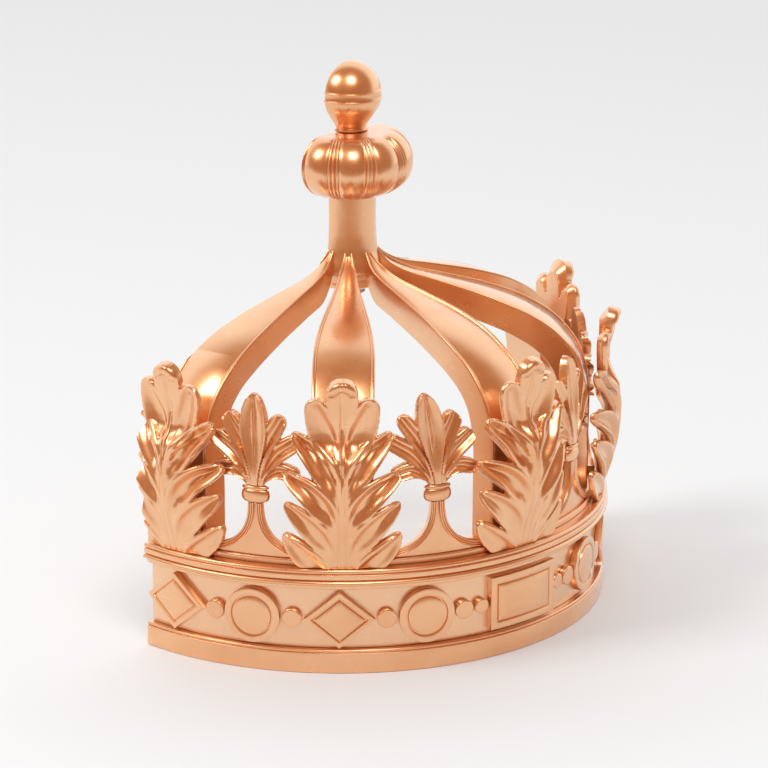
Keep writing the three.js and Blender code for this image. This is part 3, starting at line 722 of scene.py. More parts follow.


def make_palmette_fans():
    sizes = bpy.context.scene.crown_palmettes
    lobes = [frond(np.array(points) * MM, width * MM, foot=0.2, swell=0.8, tip=tip)
             for points, width, tip in FAN_LOBES]
    points, width, tip = FAN_CROWN_LOBE
    crown = frond(np.array(points) * MM, width * MM, foot=0.22, swell=0.72, tip=tip, taper=0.66)
    foot, reach, top, drawn_height = 6.6 * MM, 40 * MM, 76 * MM, 70 * MM

    def field(u, v):
        u = np.abs(u)
        return np.max([frond_at(lobe, u, v)[0] for lobe in [*lobes, crown]], axis=0)

    def front(u, v):
        u = np.abs(u)
        bare = -9 * MM  # deeper than any lobe, where no lobe has been carved yet
        relief = np.full_like(u, bare)
        for lobe in lobes:
            inside, side, along = frond_at(lobe, u, v)
            strength = smooth(0.0, 0.55, along)
            crest = 0.9 * MM * np.exp(-((side - 0.6) / 0.3) ** 2)
            lip = 0.55 * sizes.hollow * smooth(-0.3, -0.85, side)
            spoon = -sizes.hollow * np.exp(-((side + 0.12) / 0.45) ** 2)
            relief = np.where(inside > 0, np.maximum(relief, strength * (crest + lip + spoon)), relief)
        inside, side, along = frond_at(crown, u, v)
        strength = smooth(0.1, 0.6, along)
        spoon = -sizes.hollow * (1 - np.minimum(np.abs(side) / 0.85, 1) ** 2)
        rib = 0.9 * MM * np.exp(-((np.abs(side) - 0.11) / 0.06) ** 2)
        shape = strength * (1.15 * spoon + rib) + 1.1 * MM
        relief = np.where(inside > 0, np.maximum(shape, np.where(inside > 1.2 * MM, -1, relief)), relief)
        relief = np.where(relief == bare, 0, relief)
        return relief - edge_drop(field(u, v))

    def back(u, v):
        return np.full_like(u, -sizes.depth)

    flat, faces = relief_plate(field, front, back, (-reach, foot), (reach, top), sizes.fineness)
    close_foot(flat, faces, foot)
    for number, tip_lean in enumerate(FAN_LEANS, 1):
        name = f"palmette_fan_{number}"
        (first, last), (_, seat), _ = span(name)
        tall = flat[:, 1] / drawn_height
        angle = (first + last) / 2 + (flat[:, 0] + tip_lean * MM * tall ** 1.3) / seat
        radius = seat - 0.9 * MM - sizes.lean_back * tall ** 1.6 + flat[:, 2]
        points = on_ring(angle, radius, low_of_fan(number) + flat[:, 1])
        made(f"{name}_cast", [(points, faces)], [name])


def low_of_fan(number):
    """Height of the knop's middle, which the fan's lobes spring from."""
    low, high = span(f"palmette_knop_{number}")[2]
    return (low + high) / 2


def make_palmette_knops():
    for number in range(1, 5):
        name = f"palmette_knop_{number}"
        (first, last), (inner, outer), (low, high) = span(name)
        angle, middle, half = (first + last) / 2, (inner + outer) / 2, (high - low) / 2
        wide, deep = (last - first) * middle / 2, (outer - inner) / 2
        profile = [(0.55, -1.0), (0.78, -0.93), (0.93, -0.7), (1.0, -0.35), (0.99, 0.0), (0.93, 0.3),
                   (0.86, 0.42), (0.80, 0.47), (0.84, 0.52), (0.92, 0.60), (0.95, 0.72), (0.92, 0.84),
                   (0.82, 0.93), (0.62, 0.98)]
        turns = np.linspace(0, 2 * math.pi, 48, endpoint=False)
        rows = [on_ring(angle + np.cos(turns) * wide * size / middle, middle + np.sin(turns) * deep * size,
                        (low + high) / 2 + up * half) for size, up in spline(profile, np.linspace(0, 1, 40))]
        made(f"{name}_cast", [loft(rows)], [name])


def make_palmette_stems():
    """Two reeded strands that part under the knop and run out along the ledge, with a thin web between."""
    sizes = bpy.context.scene.crown_palmettes
    strand, top_half, reeds, points_each = sizes.strand, 5.3 * MM, 3, 7
    fall = np.sin(np.linspace(0, math.pi / 2, 56))
    for number in range(1, 5):
        name = f"palmette_stem_{number}"
        (first, last), (inner, seat), (low, high) = span(name)
        angle, wide = (first + last) / 2, (last - first) * seat / 2
        spread = 1 - np.sqrt(np.maximum(0, 1 - fall ** 2.6))
        outer = np.column_stack([top_half + (wide - top_half) * spread, high - (high - low - strand) * fall])
        way = np.gradient(outer, axis=0)
        way[0], way[-1] = (0, -1), (1, 0)
        way /= np.linalg.norm(way, axis=1)[:, None]
        inward = np.column_stack([way[:, 1], -way[:, 0]])
        across = np.linspace(0, 1, reeds * points_each + 1)
        lifts = -1.0 * MM + 1.0 * MM * np.abs(np.sin(math.pi * reeds * across)) ** 0.8
        parts, inner_edge = [], []
        for side in (-1, 1):
            rows = []
            for place, turn in zip(outer, inward):
                line = place + np.outer(across * strand, turn)
                line[:, 0] = np.maximum(line[:, 0], 0.1 * MM)
                face = on_ring(angle + side * line[:, 0] / seat, seat + lifts, line[:, 1])
                behind = on_ring(angle + side * line[[-1, 0], 0] / seat, inner, line[[-1, 0], 1])
                rows.append(np.concatenate([face, behind]))
                if side == 1:
                    inner_edge.append(line[-1])
            parts.append(loft(rows))
        web = []
        for u, z in inner_edge:
            if u > 0.6 * MM:
                us = np.linspace(-u, u, 9)
                front = on_ring(angle + us / seat, seat - sizes.web_depth, z)
                behind = on_ring(angle + us[::-1] / seat, inner + 0.5 * MM, z)
                web.append(np.concatenate([front, behind]))
        parts.append(loft(web))
        made(f"{name}_cast", parts, [name])


# ------------------------------------------------------------------ straps

# A strap's face in side view from its foot to the neck: shares of its reach from the finial's axis
# and of its rise above the ledge.
STRAP_FACE = [(1, 0), (1, 0.2), (0.998, 0.42), (0.955, 0.59), (0.87, 0.705), (0.74, 0.795), (0.58, 0.86),
              (0.38, 0.915), (0.24, 0.952), (0.165, 0.99), (0.122, 1.035), (0.088, 1.09)]


def strap_section(sizes, half, thick, edge):
    """A strap's section across and out: square at the back, with a bead along each edge of its face."""
    arris, channel = 0.5 * MM, 0.35 * MM
    right = [(half - arris, -thick), (half, -thick + arris), (half, -0.9 * MM)]
    for turn in np.linspace(0.15, math.pi, 8):
        right.append((half - edge / 2 + edge / 2 * math.cos(turn), sizes.edge_lift * math.sin(turn)))
    right.append((half - edge - channel, -channel))
    right.append((half - edge - 0.9 * MM, -0.05 * MM))
    return right + [(-x, h) for x, h in reversed(right)]


def make_straps():
    """Each strap stands behind its leaf, and its top runs into the neck."""
    sizes = bpy.context.scene.crown_straps
    lowest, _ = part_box("strap_3")
    outer = CENTRE_Y - lowest.y
    for number in range(1, 6):
        name = f"strap_{number}"
        foot = on_ring(leaf_angle(number), outer, 0)
        outward = np.array([foot[0], foot[1] - BACK])
        reach = np.linalg.norm(outward)
        outward /= reach
        sideways = np.array([-outward[1], outward[0]])
        curve = spline(np.array(STRAP_FACE) * (reach, sizes.rise), np.linspace(0, 1, 110))
        ways = np.gradient(curve, axis=0)
        ways /= np.linalg.norm(ways, axis=1)[:, None]
        rows = []
        for (out, up), (way_out, way_up) in zip(curve, ways):
            share = smooth(0.06 * reach, 0.8 * reach, out)
            half = (sizes.top_width + (sizes.foot_width - sizes.top_width) * share) / 2
            half *= 0.45 + 0.55 * smooth(0.09 * reach, 0.2 * reach, out)
            thick = sizes.thickness * (1 - 0.72 * smooth(0.26 * reach, 0.12 * reach, out))
            edge = sizes.edge_bead * (0.55 + 0.45 * share)
            row = []
            for x, h in strap_section(sizes, half, thick, edge):
                lift = h - sizes.edge_lift
                place = outward * (out + lift * way_up) + sideways * x
                row.append((place[0], BACK + place[1], lowest.z + up - lift * way_out))
            rows.append(row)
        piece = made(f"{name}_cast", [loft(rows)], [name])
        trim_at_back(piece)


# ------------------------------------------------------------------ finial

def half_turned(profile, steps, relief=None):
    """A half-round piece about the finial's axis, which lies in the flat back."""
    turns = np.linspace(-math.pi / 2, math.pi / 2, steps + 1)
    rows = []
    for radius, z in profile:
        radii = radius - (relief(turns, radius, z) if relief else 0)
        rows.append(np.stack([radii * np.sin(turns), BACK - radii * np.cos(turns),
                              np.full_like(turns, z)], axis=-1))
    return loft(rows)


def make_neck():
    sizes = bpy.context.scene.crown_finial
    lowest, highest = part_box("neck")
    low, high, hub = lowest.z, highest.z, (highest.x - lowest.x) / 2
    radius = sizes.neck_radius
    _, flare = heights("strap_3")  # the neck flares out to meet the tops of the straps
    profile = [(hub * 0.6, low), (hub * 0.9, low + 0.6 * MM), (hub, low + 3 * MM), (hub, flare - 16 * MM),
               (hub + 3.5 * MM, flare - 9 * MM), (hub + 2.6 * MM, flare - 3 * MM),
               (radius + 1.6 * MM, flare + 5 * MM), (radius + 0.4 * MM, flare + 15 * MM),
               (radius, flare + 26 * MM), (radius, high)]
    line = spline(profile, np.linspace(0, 1, 60))
    made("neck_cast", [half_turned(line, 64)], ["neck"])


def make_melon():
    sizes = bpy.context.scene.crown_finial
    low, high = heights("melon")
    outer = sizes.melon_radius
    middle, half = (low + high) / 2, (high - low) / 2
    pole = math.radians(12)  # the flat ends take this much off the turn at each pole
    turns = np.linspace(pole, math.pi - pole, 72)
    radii = outer * np.sin(turns) ** 0.62
    levels = middle - half * np.cos(turns) / math.cos(pole)
    dip = sizes.melon_dip * smooth(0.8 * outer, 0.4 * outer, radii) * (levels > middle)
    profile = list(zip(radii, levels - dip))
    gore = 2 * math.pi / sizes.gores

    def relief(turns, radius, z):
        place = np.abs(((turns - sizes.gore_turn) / gore) % 1 - 0.5) * gore  # from a gore's middle
        from_reeds = gore / 2 - place
        reeds = sizes.reed_angle
        crown = np.clip((from_reeds - reeds) / (gore / 2 - reeds), 0, 1)
        bulge = sizes.gore_depth * (1 - crown ** 0.5) ** 1.5
        ripple = sizes.reed_relief * (1 - np.abs(np.sin(1.5 * math.pi * (from_reeds / reeds + 1 / 3))))
        valley = sizes.gore_depth - 0.9 * sizes.reed_relief + ripple
        return radius / outer * np.where(from_reeds < reeds, valley, bulge)
    made("melon_cast", [half_turned(profile, 320, relief)], ["melon"])


def make_ball():
    """A pear-shaped ball on a rounded collar, with a flat band between two beads."""
    sizes = bpy.context.scene.crown_finial
    low, high = heights("ball_finial")
    low -= sizes.melon_dip
    radius, foot, band = sizes.ball_radius, sizes.ball_foot, sizes.ball_band / 2
    middle = high - radius - sizes.ball_sink
    swell, rise, clear = 0.95 * MM, 1.5 * MM, 1.0 * MM  # a bead's two sizes, and the room it takes
    collar_top = low + 2.9 * MM
    collar = [(foot * 0.8, low), (foot + 1.0 * MM, low + 0.2 * MM), (foot + 1.9 * MM, low + 1.2 * MM),
              (foot + 1.5 * MM, low + 2.2 * MM), (foot + 0.2 * MM, collar_top - 0.1 * MM)]
    taper = np.linspace(0, 1, 36)[1:]
    widths = foot + (radius - foot) * np.sin(taper * math.pi / 2) ** 1.25
    levels = collar_top + (middle - band - collar_top) * taper
    pear = [(width, level) for width, level in zip(widths, levels) if level < middle - band - clear]

    def ball_bead(at, level):
        turns = np.linspace(0, math.pi, 8)
        return [(at + swell * math.sin(turn), level - rise / 2 * math.cos(turn)) for turn in turns]
    flat_band = [(radius - 0.3 * MM, middle - band + 1.4 * MM), (radius - 0.1 * MM, middle),
                 (radius - 0.4 * MM, middle + band - 1.4 * MM)]
    dome = [(radius * math.cos(turn), middle + radius * math.sin(turn))
            for turn in np.linspace(math.asin((band + clear) / radius), math.radians(88), 34)]
    profile = [*collar, *pear, *ball_bead(radius, middle - band), *flat_band,
               *ball_bead(math.sqrt(radius ** 2 - band ** 2), middle + band), *dome]
    made("ball_cast", [half_turned(profile, 72)], ["ball_finial"])


# ------------------------------------------------------------------ fixings at the back

def turned(centre, axis, profile, steps=32):
    """A full turned piece along an axis from (radius, distance) points."""
    axis = Vector(axis).normalized()
    side = axis.orthogonal().normalized()
    other = axis.cross(side)
    spokes = [side * x + other * y for x, y in circle_outline(1, steps)]
    return loft([[Vector(centre) + axis * along + spoke * radius for spoke in spokes]
                 for radius, along in profile])


def make_bolt():
    low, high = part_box("finial_bolt")
    centre = ((low.x + high.x) / 2, (low.y + high.y) / 2, 0)
    head = (high.x - low.x) / 2
    shank, head_height, pitch = head / 2, 4 * MM, 1.0 * MM
    head_top = low.z + head_height
    profile = [(head * 0.8, low.z), (head, low.z + 0.8 * MM), (head, head_top), (shank, head_top)]
    z = head_top + 2 * MM
    while z < high.z - 2 * MM:
        profile += [(shank, z), (shank * 0.86, z + pitch / 2)]
        z += pitch
    profile += [(shank * 0.8, high.z - 0.8 * MM), (shank * 0.5, high.z)]
    made("finial_bolt_threaded", [turned(centre, (0, 0, 1), profile, 24)], ["finial_bolt"],
         brushed_steel())


def make_hangers():
    steel = brushed_steel()
    for side in SIDES:
        name = f"hanger_{side}"
        made(f"hanger_plate_{side}", hanger_plate(*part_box(name)), [name], steel)
        for end in ("lower", "upper"):
            name = f"hanger_screw_{side}_{end}"
            low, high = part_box(name)
            head, depth = (high.x - low.x) / 2, high.y - low.y
            centre = ((low.x + high.x) / 2, high.y, (low.z + high.z) / 2)
            profile = [(0.25 * head, depth), (0.42 * head, depth - 2 * MM), (0.46 * head, 1.5 * MM),
                       (head, 0.15 * MM), (0.96 * head, 0), (0.35 * head, 0), (0.30 * head, 0.9 * MM)]
            made(f"{name}_turned", [turned(centre, (0, -1, 0), profile)], [name], steel)


def hanger_plate(low, high):
    """A steel plate with rounded corners and a keyhole, which fills the box from low to high."""
    x, z = (low.x + high.x) / 2, (low.z + high.z) / 2
    corner, key, slot, drop, slot_top = 2.5 * MM, 4.5 * MM, 2 * MM, 2 * MM, 10 * MM
    across, up = (high.x - low.x) / 2 - corner, (high.z - low.z) / 2 - corner

    def outer(t):
        return (math.copysign(across, math.cos(t)) + corner * math.cos(t),
                math.copysign(up, math.sin(t)) + corner * math.sin(t))

    def keyhole(t):
        u, v = key * math.cos(t), key * math.sin(t) - drop
        if v > -drop and abs(u) < slot:
            v = slot_top - drop + math.sqrt(slot ** 2 - u ** 2)
        return u, v
    turns = np.linspace(0, 2 * math.pi, 96, endpoint=False)
    rows = [[(x + u, y, z + v) for u, v in map(shape, turns)]
            for shape, y in ((outer, low.y), (outer, high.y), (keyhole, high.y), (keyhole, low.y))]
    points, faces = loft([*rows, rows[0]], caps=False)
    count = 4 * len(turns)  # the last row is the first again
    return [(points[:count], [tuple(i % count for i in face) for face in faces])]


# ------------------------------------------------------------------ stage

def make_stage():
    stage = bpy.context.scene.crown_stage
    make_floor(stage)
    make_camera(stage)
    make_lights(stage)


def make_floor(stage):
    """Matt white paper to the camera and to diffuse light. Beyond the paper's front, glossy rays alone see a
    warm dim colour: a painted reflection that darkens and warms the paint.
    """
    mesh = bpy.data.meshes.new("floor")
    size = stage.floor_size
    mesh.from_pydata([(-size, -size, 0), (size, -size, 0), (size, size, 0), (-size, size, 0)], [],
                     [(0, 1, 2, 3)])
    floor = bpy.data.objects.new("floor", mesh)
    bpy.context.scene.collection.objects.link(floor)
    material, tree, shader = blank_material("matt_white_paper_and_painted_reflection")
    place = node(tree, "ShaderNodeTexCoord", {}).outputs["Object"]
    nearness = node(tree, "ShaderNodeVectorMath", {0: place, 1: view_axes(stage.bearing, 0)[0]}, DOT)
    blend = 0.15  # metres over which the paper turns to the painted reflection
    beyond = node(tree, "ShaderNodeMapRange", {
        "Value": nearness.outputs["Value"], "From Min": stage.floor_front,
        "From Max": stage.floor_front + blend}, EASED)
    # Only glossy rays see the warm dim colour beyond the paper. It is a painted reflection, which neither the
    # camera nor diffuse light ever sees.
    glossy = node(tree, "ShaderNodeLightPath", {}).outputs["Is Glossy Ray"]
    painted_reflection_share = node(tree, "ShaderNodeMath", {0: beyond.outputs["Result"], 1: glossy}, {"operation": "MULTIPLY"})
    tone = node(tree, "ShaderNodeMix", {
        FACTOR: painted_reflection_share.outputs["Value"], FIRST: (*stage.floor_colour, 1),
        SECOND: (*stage.painted_reflection_floor_colour, 1)}, COLOURS)
    fill(tree, shader, {"Base Color": tone.outputs[MIXED], "Roughness": 0.9})
    mesh.materials.append(material)


def view_axes(turn, rise):
    """Unit vectors away from the object, to the right and up, for a camera at a bearing and height."""
    away = Vector((math.sin(turn) * math.cos(rise), -math.cos(turn) * math.cos(rise), math.sin(rise)))
    right = Vector((math.cos(turn), math.sin(turn), 0))
    return away, right, away.cross(right)


def make_camera(stage):
    """The camera looks at the crown from its bearing and height, aimed a little off the band's axis."""
    away, right, up = view_axes(stage.bearing, stage.height_angle)
    aim = Vector((0, CENTRE_Y, RIM_RADIUS))
    data = bpy.data.cameras.new("camera")
    data.lens = stage.lens
    data.sensor_width = 36.0  # full frame, in millimetres
    data.clip_start = 0.05
    data.clip_end = 60
    camera = bpy.data.objects.new("camera", data)
    camera.location = aim + away * stage.distance
    swung = right * math.sin(stage.pan) - away * math.cos(stage.pan)
    forward = swung * math.cos(stage.tilt) + up * math.sin(stage.tilt)
    level = forward.cross(Vector((0, 0, 1))).normalized()
    upright = level.cross(forward)
    x = level * math.cos(stage.roll) + upright * math.sin(stage.roll)
    y = upright * math.cos(stage.roll) - level * math.sin(stage.roll)
    camera.matrix_world = Matrix.Translation(camera.location) @ Matrix((x, y, -forward)).transposed().to_4x4()
    bpy.context.scene.collection.objects.link(camera)
    bpy.context.scene.camera = camera


def softbox(name, turn, rise, stage, aim):
    """A square softbox that faces its aim from a bearing and an angle above the floor."""
    distance = 6.0
    away, _, _ = view_axes(turn, rise)
    data = bpy.data.lights.new(name, "AREA")
    data.shape = "SQUARE"
    data.size = stage.softbox_size
    data.energy = stage.softbox_power
    lamp = bpy.data.objects.new(name, data)
    lamp.location = aim + away * distance
    lamp.rotation_mode = "QUATERNION"
    lamp.rotation_quaternion = away.to_track_quat("Z", "Y")
    bpy.context.scene.collection.objects.link(lamp)


def make_lights(stage):
    """Two softboxes in front and above, and a studio that is white behind the crown and dim grey before it.
    Before the crown, glossy rays alone see a warm colour instead: a painted reflection on the paint.
    """
    aim = Vector((0, CENTRE_Y - RIM_RADIUS / 2, 1.2 * RIM_RADIUS))
    for name, turn, rise in (("softbox_left", -70, 45), ("softbox_front", 10, 57)):
        softbox(name, stage.bearing + math.radians(turn), math.radians(rise), stage, aim)
    world = bpy.data.worlds.new("studio")
    bpy.context.scene.world = world
    world.use_nodes = True
    tree = world.node_tree
    toward, _, _ = view_axes(stage.bearing, math.radians(25))
    ray = node(tree, "ShaderNodeTexCoord", {}).outputs["Generated"]
    facing = node(tree, "ShaderNodeVectorMath", {0: ray, 1: toward}, DOT)
    share = node(tree, "ShaderNodeMapRange", {
        "Value": facing.outputs["Value"], "From Min": -0.15, "From Max": 0.2}, EASED)
    # Glossy rays before the crown see a warm colour that no other ray sees. It is a painted reflection that
    # warms the paint's dark tones.
    glossy = node(tree, "ShaderNodeLightPath", {}).outputs["Is Glossy Ray"]
    dim = node(tree, "ShaderNodeMix", {
        FACTOR: glossy, FIRST: (*stage.fill_colour, 1), SECOND: (*stage.painted_reflection_colour, 1)}, COLOURS)
    tone = node(tree, "ShaderNodeMix", {
        FACTOR: share.outputs["Result"], FIRST: (*stage.wall_colour, 1),
        SECOND: dim.outputs[MIXED]}, COLOURS)
    fill(tree, tree.nodes["Background"], {"Color": tone.outputs[MIXED], "Strength": stage.wall_light})
    bpy.context.scene.view_settings.view_transform = "Standard"


# ------------------------------------------------------------------ what a user would change

def a_length(name, description, default):
    return FloatProperty(name=name, description=description, default=default, unit="LENGTH",
                         subtype="DISTANCE")


def a_colour(name, description, code):
    return FloatVectorProperty(name=name, description=description, default=linear(code)[:3], size=3,
                               min=0, max=1, subtype="COLOR")


def an_angle(name, description, degrees):
    return FloatProperty(name=name, description=description, default=math.radians(degrees), unit="ROTATION",
                         subtype="ANGLE")


def a_share(name, description, default):
    return FloatProperty(name=name, description=description, default=default, min=0, max=1)


class CrownBand(bpy.types.PropertyGroup):
    wall: a_length("Wall", "Rim's outside to the band's inner wall", 34 * MM)
    rim_bead: a_length("Rim bead", "Height of the bead along the base rim's top edge", 2.6 * MM)


class CrownJewels(bpy.types.PropertyGroup):
    plaque_border: a_length("Plaque border", "Width of the rectangle's flat border", 5.2 * MM)
    round_border: a_length("Round border", "Width of a round jewel's flat border", 5.0 * MM)
    lozenge_border: a_length("Lozenge border", "Width of a lozenge's flat border", 3.6 * MM)
    groove: a_length("Groove", "Width of the groove inside a border", 1.6 * MM)
    groove_depth: a_length("Groove depth", "Depth of the groove inside a border", 1.4 * MM)


class CrownLeaves(bpy.types.PropertyGroup):
    height: a_length("Height", "Foot to rolled tip", 146 * MM)
    thickness: a_length("Thickness", "Casting thickness at the foot", 5 * MM)
    ridge: a_length("Ridge", "Height of each lobe's rounded ridge", 1.2 * MM)
    gutter: a_length("Gutter", "Depth of the hollow along each lobe", 5.0 * MM)
    bowl: a_length("Bowl", "Depth of the hollow under the leaf's tip", 7.5 * MM)
    roll: a_length("Roll", "Radius of the rolled lip along the leaf's tip", 3.8 * MM)
    edge: a_length("Edge", "Thickness of the casting along each lobe's edge", 1.8 * MM)
    back_swell: a_length("Back swell", "How far each lobe's back swells out", 8 * MM)
    fineness: a_length("Fineness", "Spacing of the carved surface's points", 0.75 * MM)


class CrownPalmettes(bpy.types.PropertyGroup):
    depth: a_length("Depth", "Thickness of the fan", 5.6 * MM)
    hollow: a_length("Hollow", "Depth of each spoon-shaped lobe", 2.8 * MM)
    lean_back: a_length("Lean", "How far the fan's top leans in from upright", 4.5 * MM)
    strand: a_length("Strand", "Width of each reeded strand", 4.6 * MM)
    web_depth: a_length("Web depth", "Web between the strands behind their reeds", 2.4 * MM)
    fineness: a_length("Fineness", "Spacing of the carved surface's points", 0.65 * MM)


class CrownStraps(bpy.types.PropertyGroup):
    rise: a_length("Rise", "Ledge to where the strap meets the neck", 175 * MM)
    thickness: a_length("Thickness", "Face to inside", 20 * MM)
    top_width: a_length("Top width", "Width at the neck", 10.6 * MM)
    foot_width: a_length("Foot width", "Width at the foot", 45 * MM)
    edge_bead: a_length("Edge bead", "Width of the bead along each edge", 2.6 * MM)
    edge_lift: a_length("Edge lift", "Height of the bead along each edge", 0.9 * MM)


class CrownFinial(bpy.types.PropertyGroup):
    neck_radius: a_length("Neck", "Radius of the neck", 20.3 * MM)
    melon_radius: a_length("Melon", "Greatest radius of the melon", 48.6 * MM)
    gores: IntProperty(name="Gores", description="Gores round a whole turn of the melon", default=10, min=4)
    melon_dip: a_length("Melon dip", "How far the melon's top sinks to the ball's collar", 3.4 * MM)
    gore_turn: an_angle("Gore turn", "Angle of one group of reeds from the front", 15)
    gore_depth: a_length("Gore depth", "Valley between two gores", 2.2 * MM)
    reed_relief: a_length("Reed relief", "Height of the reeds in each valley", 1.6 * MM)
    reed_angle: an_angle("Reed spread", "Half the angle that three reeds take", 5.6)
    ball_radius: a_length("Ball", "Radius of the ball", 24.2 * MM)
    ball_sink: a_length("Ball sink", "How far the ball is pressed down its stem", 1.2 * MM)
    ball_foot: a_length("Ball foot", "Radius of the pear-shaped ball's foot", 12.6 * MM)
    ball_band: a_length("Ball band", "Height between the ball's two beads", 6.0 * MM)


class CrownPaint(bpy.types.PropertyGroup):
    colour: a_colour("Copper", "Main tone of the copper paint", "F6BB85")
    shade_colour: a_colour("Shade", "Tone where the flakes lie thicker", "EFAD74")
    edge_colour: a_colour("Edge", "Tone of edges where the paint has rubbed", "F6C79A")
    metallic: a_share("Flake", "Share of metal flake in the paint", 0.92)
    roughness: a_share("Roughness", "Roughness of the flakes", 0.29)
    lacquer_roughness: a_share("Lacquer", "Roughness of the lacquer", 0.17)
    peel_size: a_length("Orange peel", "Size of the sprayed film's ripples", 1.8 * MM)


class CrownStage(bpy.types.PropertyGroup):
    floor_size: a_length("Floor", "Half the floor's width", 14.0)
    floor_colour: a_colour("Floor colour", "Pale paper floor", "EEEDEC")
    wall_colour: a_colour("Wall colour", "Studio wall behind the crown", "F6F8FA")
    # A painted reflection: the warm colour that only glossy rays see in the studio before the crown.
    painted_reflection_colour: a_colour("Room colour", "Dim warm studio that the paint mirrors", "9F6D4C")
    fill_colour: a_colour("Fill colour", "Light the studio before the crown gives", "A2A4A6")
    floor_front: a_length("Paper", "How far the paint mirrors the pale floor before the crown", 0.8)
    # A painted reflection: the warm dim colour that only glossy rays see on the floor beyond the paper.
    painted_reflection_floor_colour: a_colour("Boards colour", "Warm dim floor that the paint mirrors beyond it", "AA7652")
    wall_light: FloatProperty(name="Wall light", description="Brightness of the studio", default=1.25, min=0)
    softbox_size: a_length("Softbox size", "Width of each softbox", 2.3)
    softbox_power: FloatProperty(name="Softbox", description="Power of each softbox", default=112.0, min=0,
                                 unit="POWER")
    bearing: an_angle("Bearing", "Camera's bearing round the crown", -42.14)
    height_angle: an_angle("Height", "Camera's angle above the floor", 16.71)
    distance: a_length("Distance", "Camera to the crown", 3.0534)
    lens: FloatProperty(name="Lens", description="Focal length", default=189.8, min=1, unit="CAMERA")
    pan: an_angle("Pan", "Aim to the right of the axis", 0.602)
    tilt: an_angle("Tilt", "Aim above the axis", -0.783)
    roll: an_angle("Roll", "Camera's roll", 0.136)


# ------------------------------------------------------------------ operators and panel

def runs(maker):
    """An operator's execute that calls the maker of its pieces."""
    def execute(self, context):
        maker()
        return {"FINISHED"}
    return execute


class CROWN_OT_base_rim(bpy.types.Operator):
    """Plain base rim with a fine bead along its top edge"""
    bl_idname = "crown.base_rim"
    bl_label = "Base rim"
    execute = runs(make_base_rim)


class CROWN_OT_frieze(bpy.types.Operator):
    """Plain frieze band behind the jewels"""
    bl_idname = "crown.frieze"
    bl_label = "Frieze band"
    execute = runs(make_frieze)


class CROWN_OT_top_moulding(bpy.types.Operator):
    """Beaded moulding above the frieze"""
    bl_idname = "crown.top_moulding"
    bl_label = "Top moulding"
    execute = runs(make_top_moulding)


class CROWN_OT_crest_ledge(bpy.types.Operator):
    """Ledge that the palmettes and straps stand on"""
    bl_idname = "crown.crest_ledge"
    bl_label = "Crest ledge"
    execute = runs(make_crest_ledge)


class CROWN_OT_rectangle_plaque(bpy.types.Operator):
    """Framed rectangle at the front of the band"""
    bl_idname = "crown.rectangle_plaque"
    bl_label = "Rectangle plaque"
    execute = runs(make_rectangle_plaque)


class CROWN_OT_round_plaques(bpy.types.Operator):
    """Framed round jewels"""
    bl_idname = "crown.round_plaques"
    bl_label = "Round jewels"
    execute = runs(make_round_plaques)


class CROWN_OT_lozenge_plaques(bpy.types.Operator):
    """Framed lozenge jewels"""
    bl_idname = "crown.lozenge_plaques"
    bl_label = "Lozenge jewels"
    execute = runs(make_lozenge_plaques)


class CROWN_OT_discs(bpy.types.Operator):
    """Small plain discs between the jewels"""
    bl_idname = "crown.discs"
    bl_label = "Discs"
    execute = runs(make_discs)


class CROWN_OT_leaves(bpy.types.Operator):
    """Five carved acanthus leaves"""
    bl_idname = "crown.leaves"
    bl_label = "Acanthus leaves"
    execute = runs(make_leaves)


class CROWN_OT_palmette_fans(bpy.types.Operator):
    """Seven-lobed fans of the four palmettes"""
    bl_idname = "crown.palmette_fans"
    bl_label = "Palmette fans"
    execute = runs(make_palmette_fans)


class CROWN_OT_palmette_knops(bpy.types.Operator):
    """Turned knops under the fans"""
    bl_idname = "crown.palmette_knops"
    bl_label = "Palmette knops"
    execute = runs(make_palmette_knops)


class CROWN_OT_palmette_stems(bpy.types.Operator):
    """Reeded scrolls that carry the palmettes"""
    bl_idname = "crown.palmette_stems"
    bl_label = "Palmette stems"
    execute = runs(make_palmette_stems)


class CROWN_OT_straps(bpy.types.Operator):
    """Five ogee straps with beaded edges"""
    bl_idname = "crown.straps"
    bl_label = "Straps"
    execute = runs(make_straps)


class CROWN_OT_neck(bpy.types.Operator):
    """Neck that the straps run up into"""
    bl_idname = "crown.neck"
    bl_label = "Neck"
    execute = runs(make_neck)


class CROWN_OT_melon(bpy.types.Operator):
    """Gored melon of the finial"""
    bl_idname = "crown.melon"
    bl_label = "Melon"
    execute = runs(make_melon)


class CROWN_OT_ball(bpy.types.Operator):
    """Ball on top of the finial"""
    bl_idname = "crown.ball"
    bl_label = "Ball"
    execute = runs(make_ball)


class CROWN_OT_bolt(bpy.types.Operator):
    """Bolt that draws neck, melon and ball together"""
    bl_idname = "crown.bolt"
    bl_label = "Finial bolt"
    execute = runs(make_bolt)


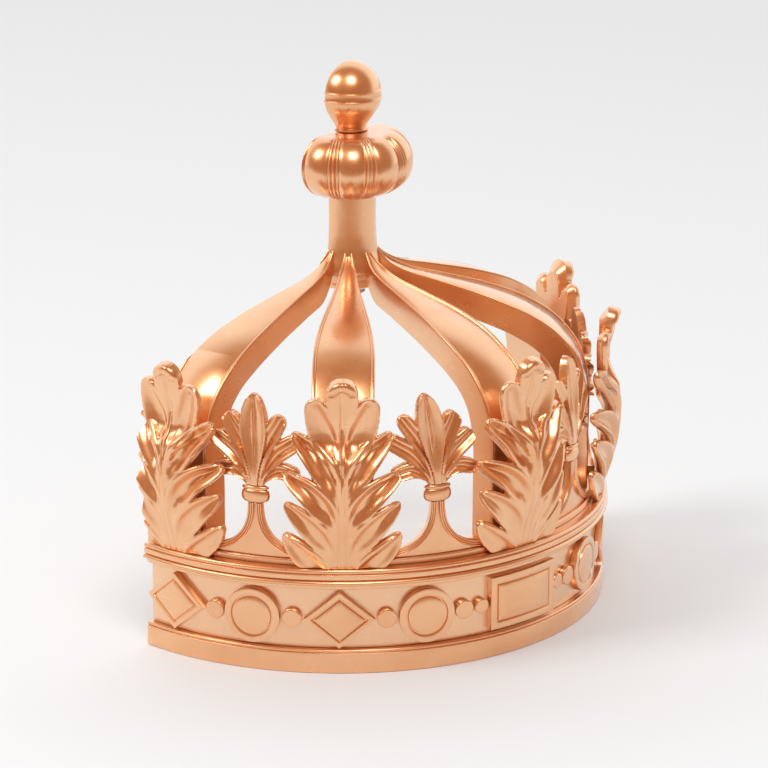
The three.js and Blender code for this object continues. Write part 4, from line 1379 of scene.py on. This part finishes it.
class CROWN_OT_hangers(bpy.types.Operator):
    """Keyhole plates and their screws in the flat back"""
    bl_idname = "crown.hangers"
    bl_label = "Wall hangers"
    execute = runs(make_hangers)


class CROWN_OT_stage(bpy.types.Operator):
    """Paper floor, soft lights and camera"""
    bl_idname = "crown.stage"
    bl_label = "Stage"
    execute = runs(make_stage)


OPERATORS = (
    CROWN_OT_base_rim, CROWN_OT_frieze, CROWN_OT_top_moulding, CROWN_OT_crest_ledge,
    CROWN_OT_rectangle_plaque, CROWN_OT_round_plaques, CROWN_OT_lozenge_plaques, CROWN_OT_discs,
    CROWN_OT_leaves, CROWN_OT_palmette_fans, CROWN_OT_palmette_knops, CROWN_OT_palmette_stems,
    CROWN_OT_straps, CROWN_OT_neck, CROWN_OT_melon, CROWN_OT_ball, CROWN_OT_bolt, CROWN_OT_hangers,
    CROWN_OT_stage)

GROUPS = {
    "crown_band": CrownBand, "crown_jewels": CrownJewels, "crown_leaves": CrownLeaves,
    "crown_palmettes": CrownPalmettes, "crown_straps": CrownStraps, "crown_finial": CrownFinial,
    "crown_paint": CrownPaint, "crown_stage": CrownStage}


class CROWN_PT_panel(bpy.types.Panel):
    """Lists the crown's pieces and their sizes"""
    bl_idname = "CROWN_PT_panel"
    bl_label = "Wall crown"
    bl_space_type = "VIEW_3D"
    bl_region_type = "UI"
    bl_category = "Wall crown"

    def draw(self, context):
        for operator in OPERATORS:
            self.layout.operator(operator.bl_idname)
        for name, group in GROUPS.items():
            box = self.layout.box()
            for size in group.__annotations__:
                box.prop(getattr(context.scene, name), size)


def register():
    for name, group in GROUPS.items():
        bpy.utils.register_class(group)
        setattr(bpy.types.Scene, name, PointerProperty(type=group))
    for item in (*OPERATORS, CROWN_PT_panel):
        bpy.utils.register_class(item)


def unregister():
    for item in reversed((*OPERATORS, CROWN_PT_panel)):
        bpy.utils.unregister_class(item)
    for name, group in GROUPS.items():
        delattr(bpy.types.Scene, name)
        bpy.utils.unregister_class(group)


def main():
    register()
    for operator in OPERATORS:
        getattr(bpy.ops.crown, operator.bl_idname.split(".")[1])()


if __name__ == "__main__":
    main()
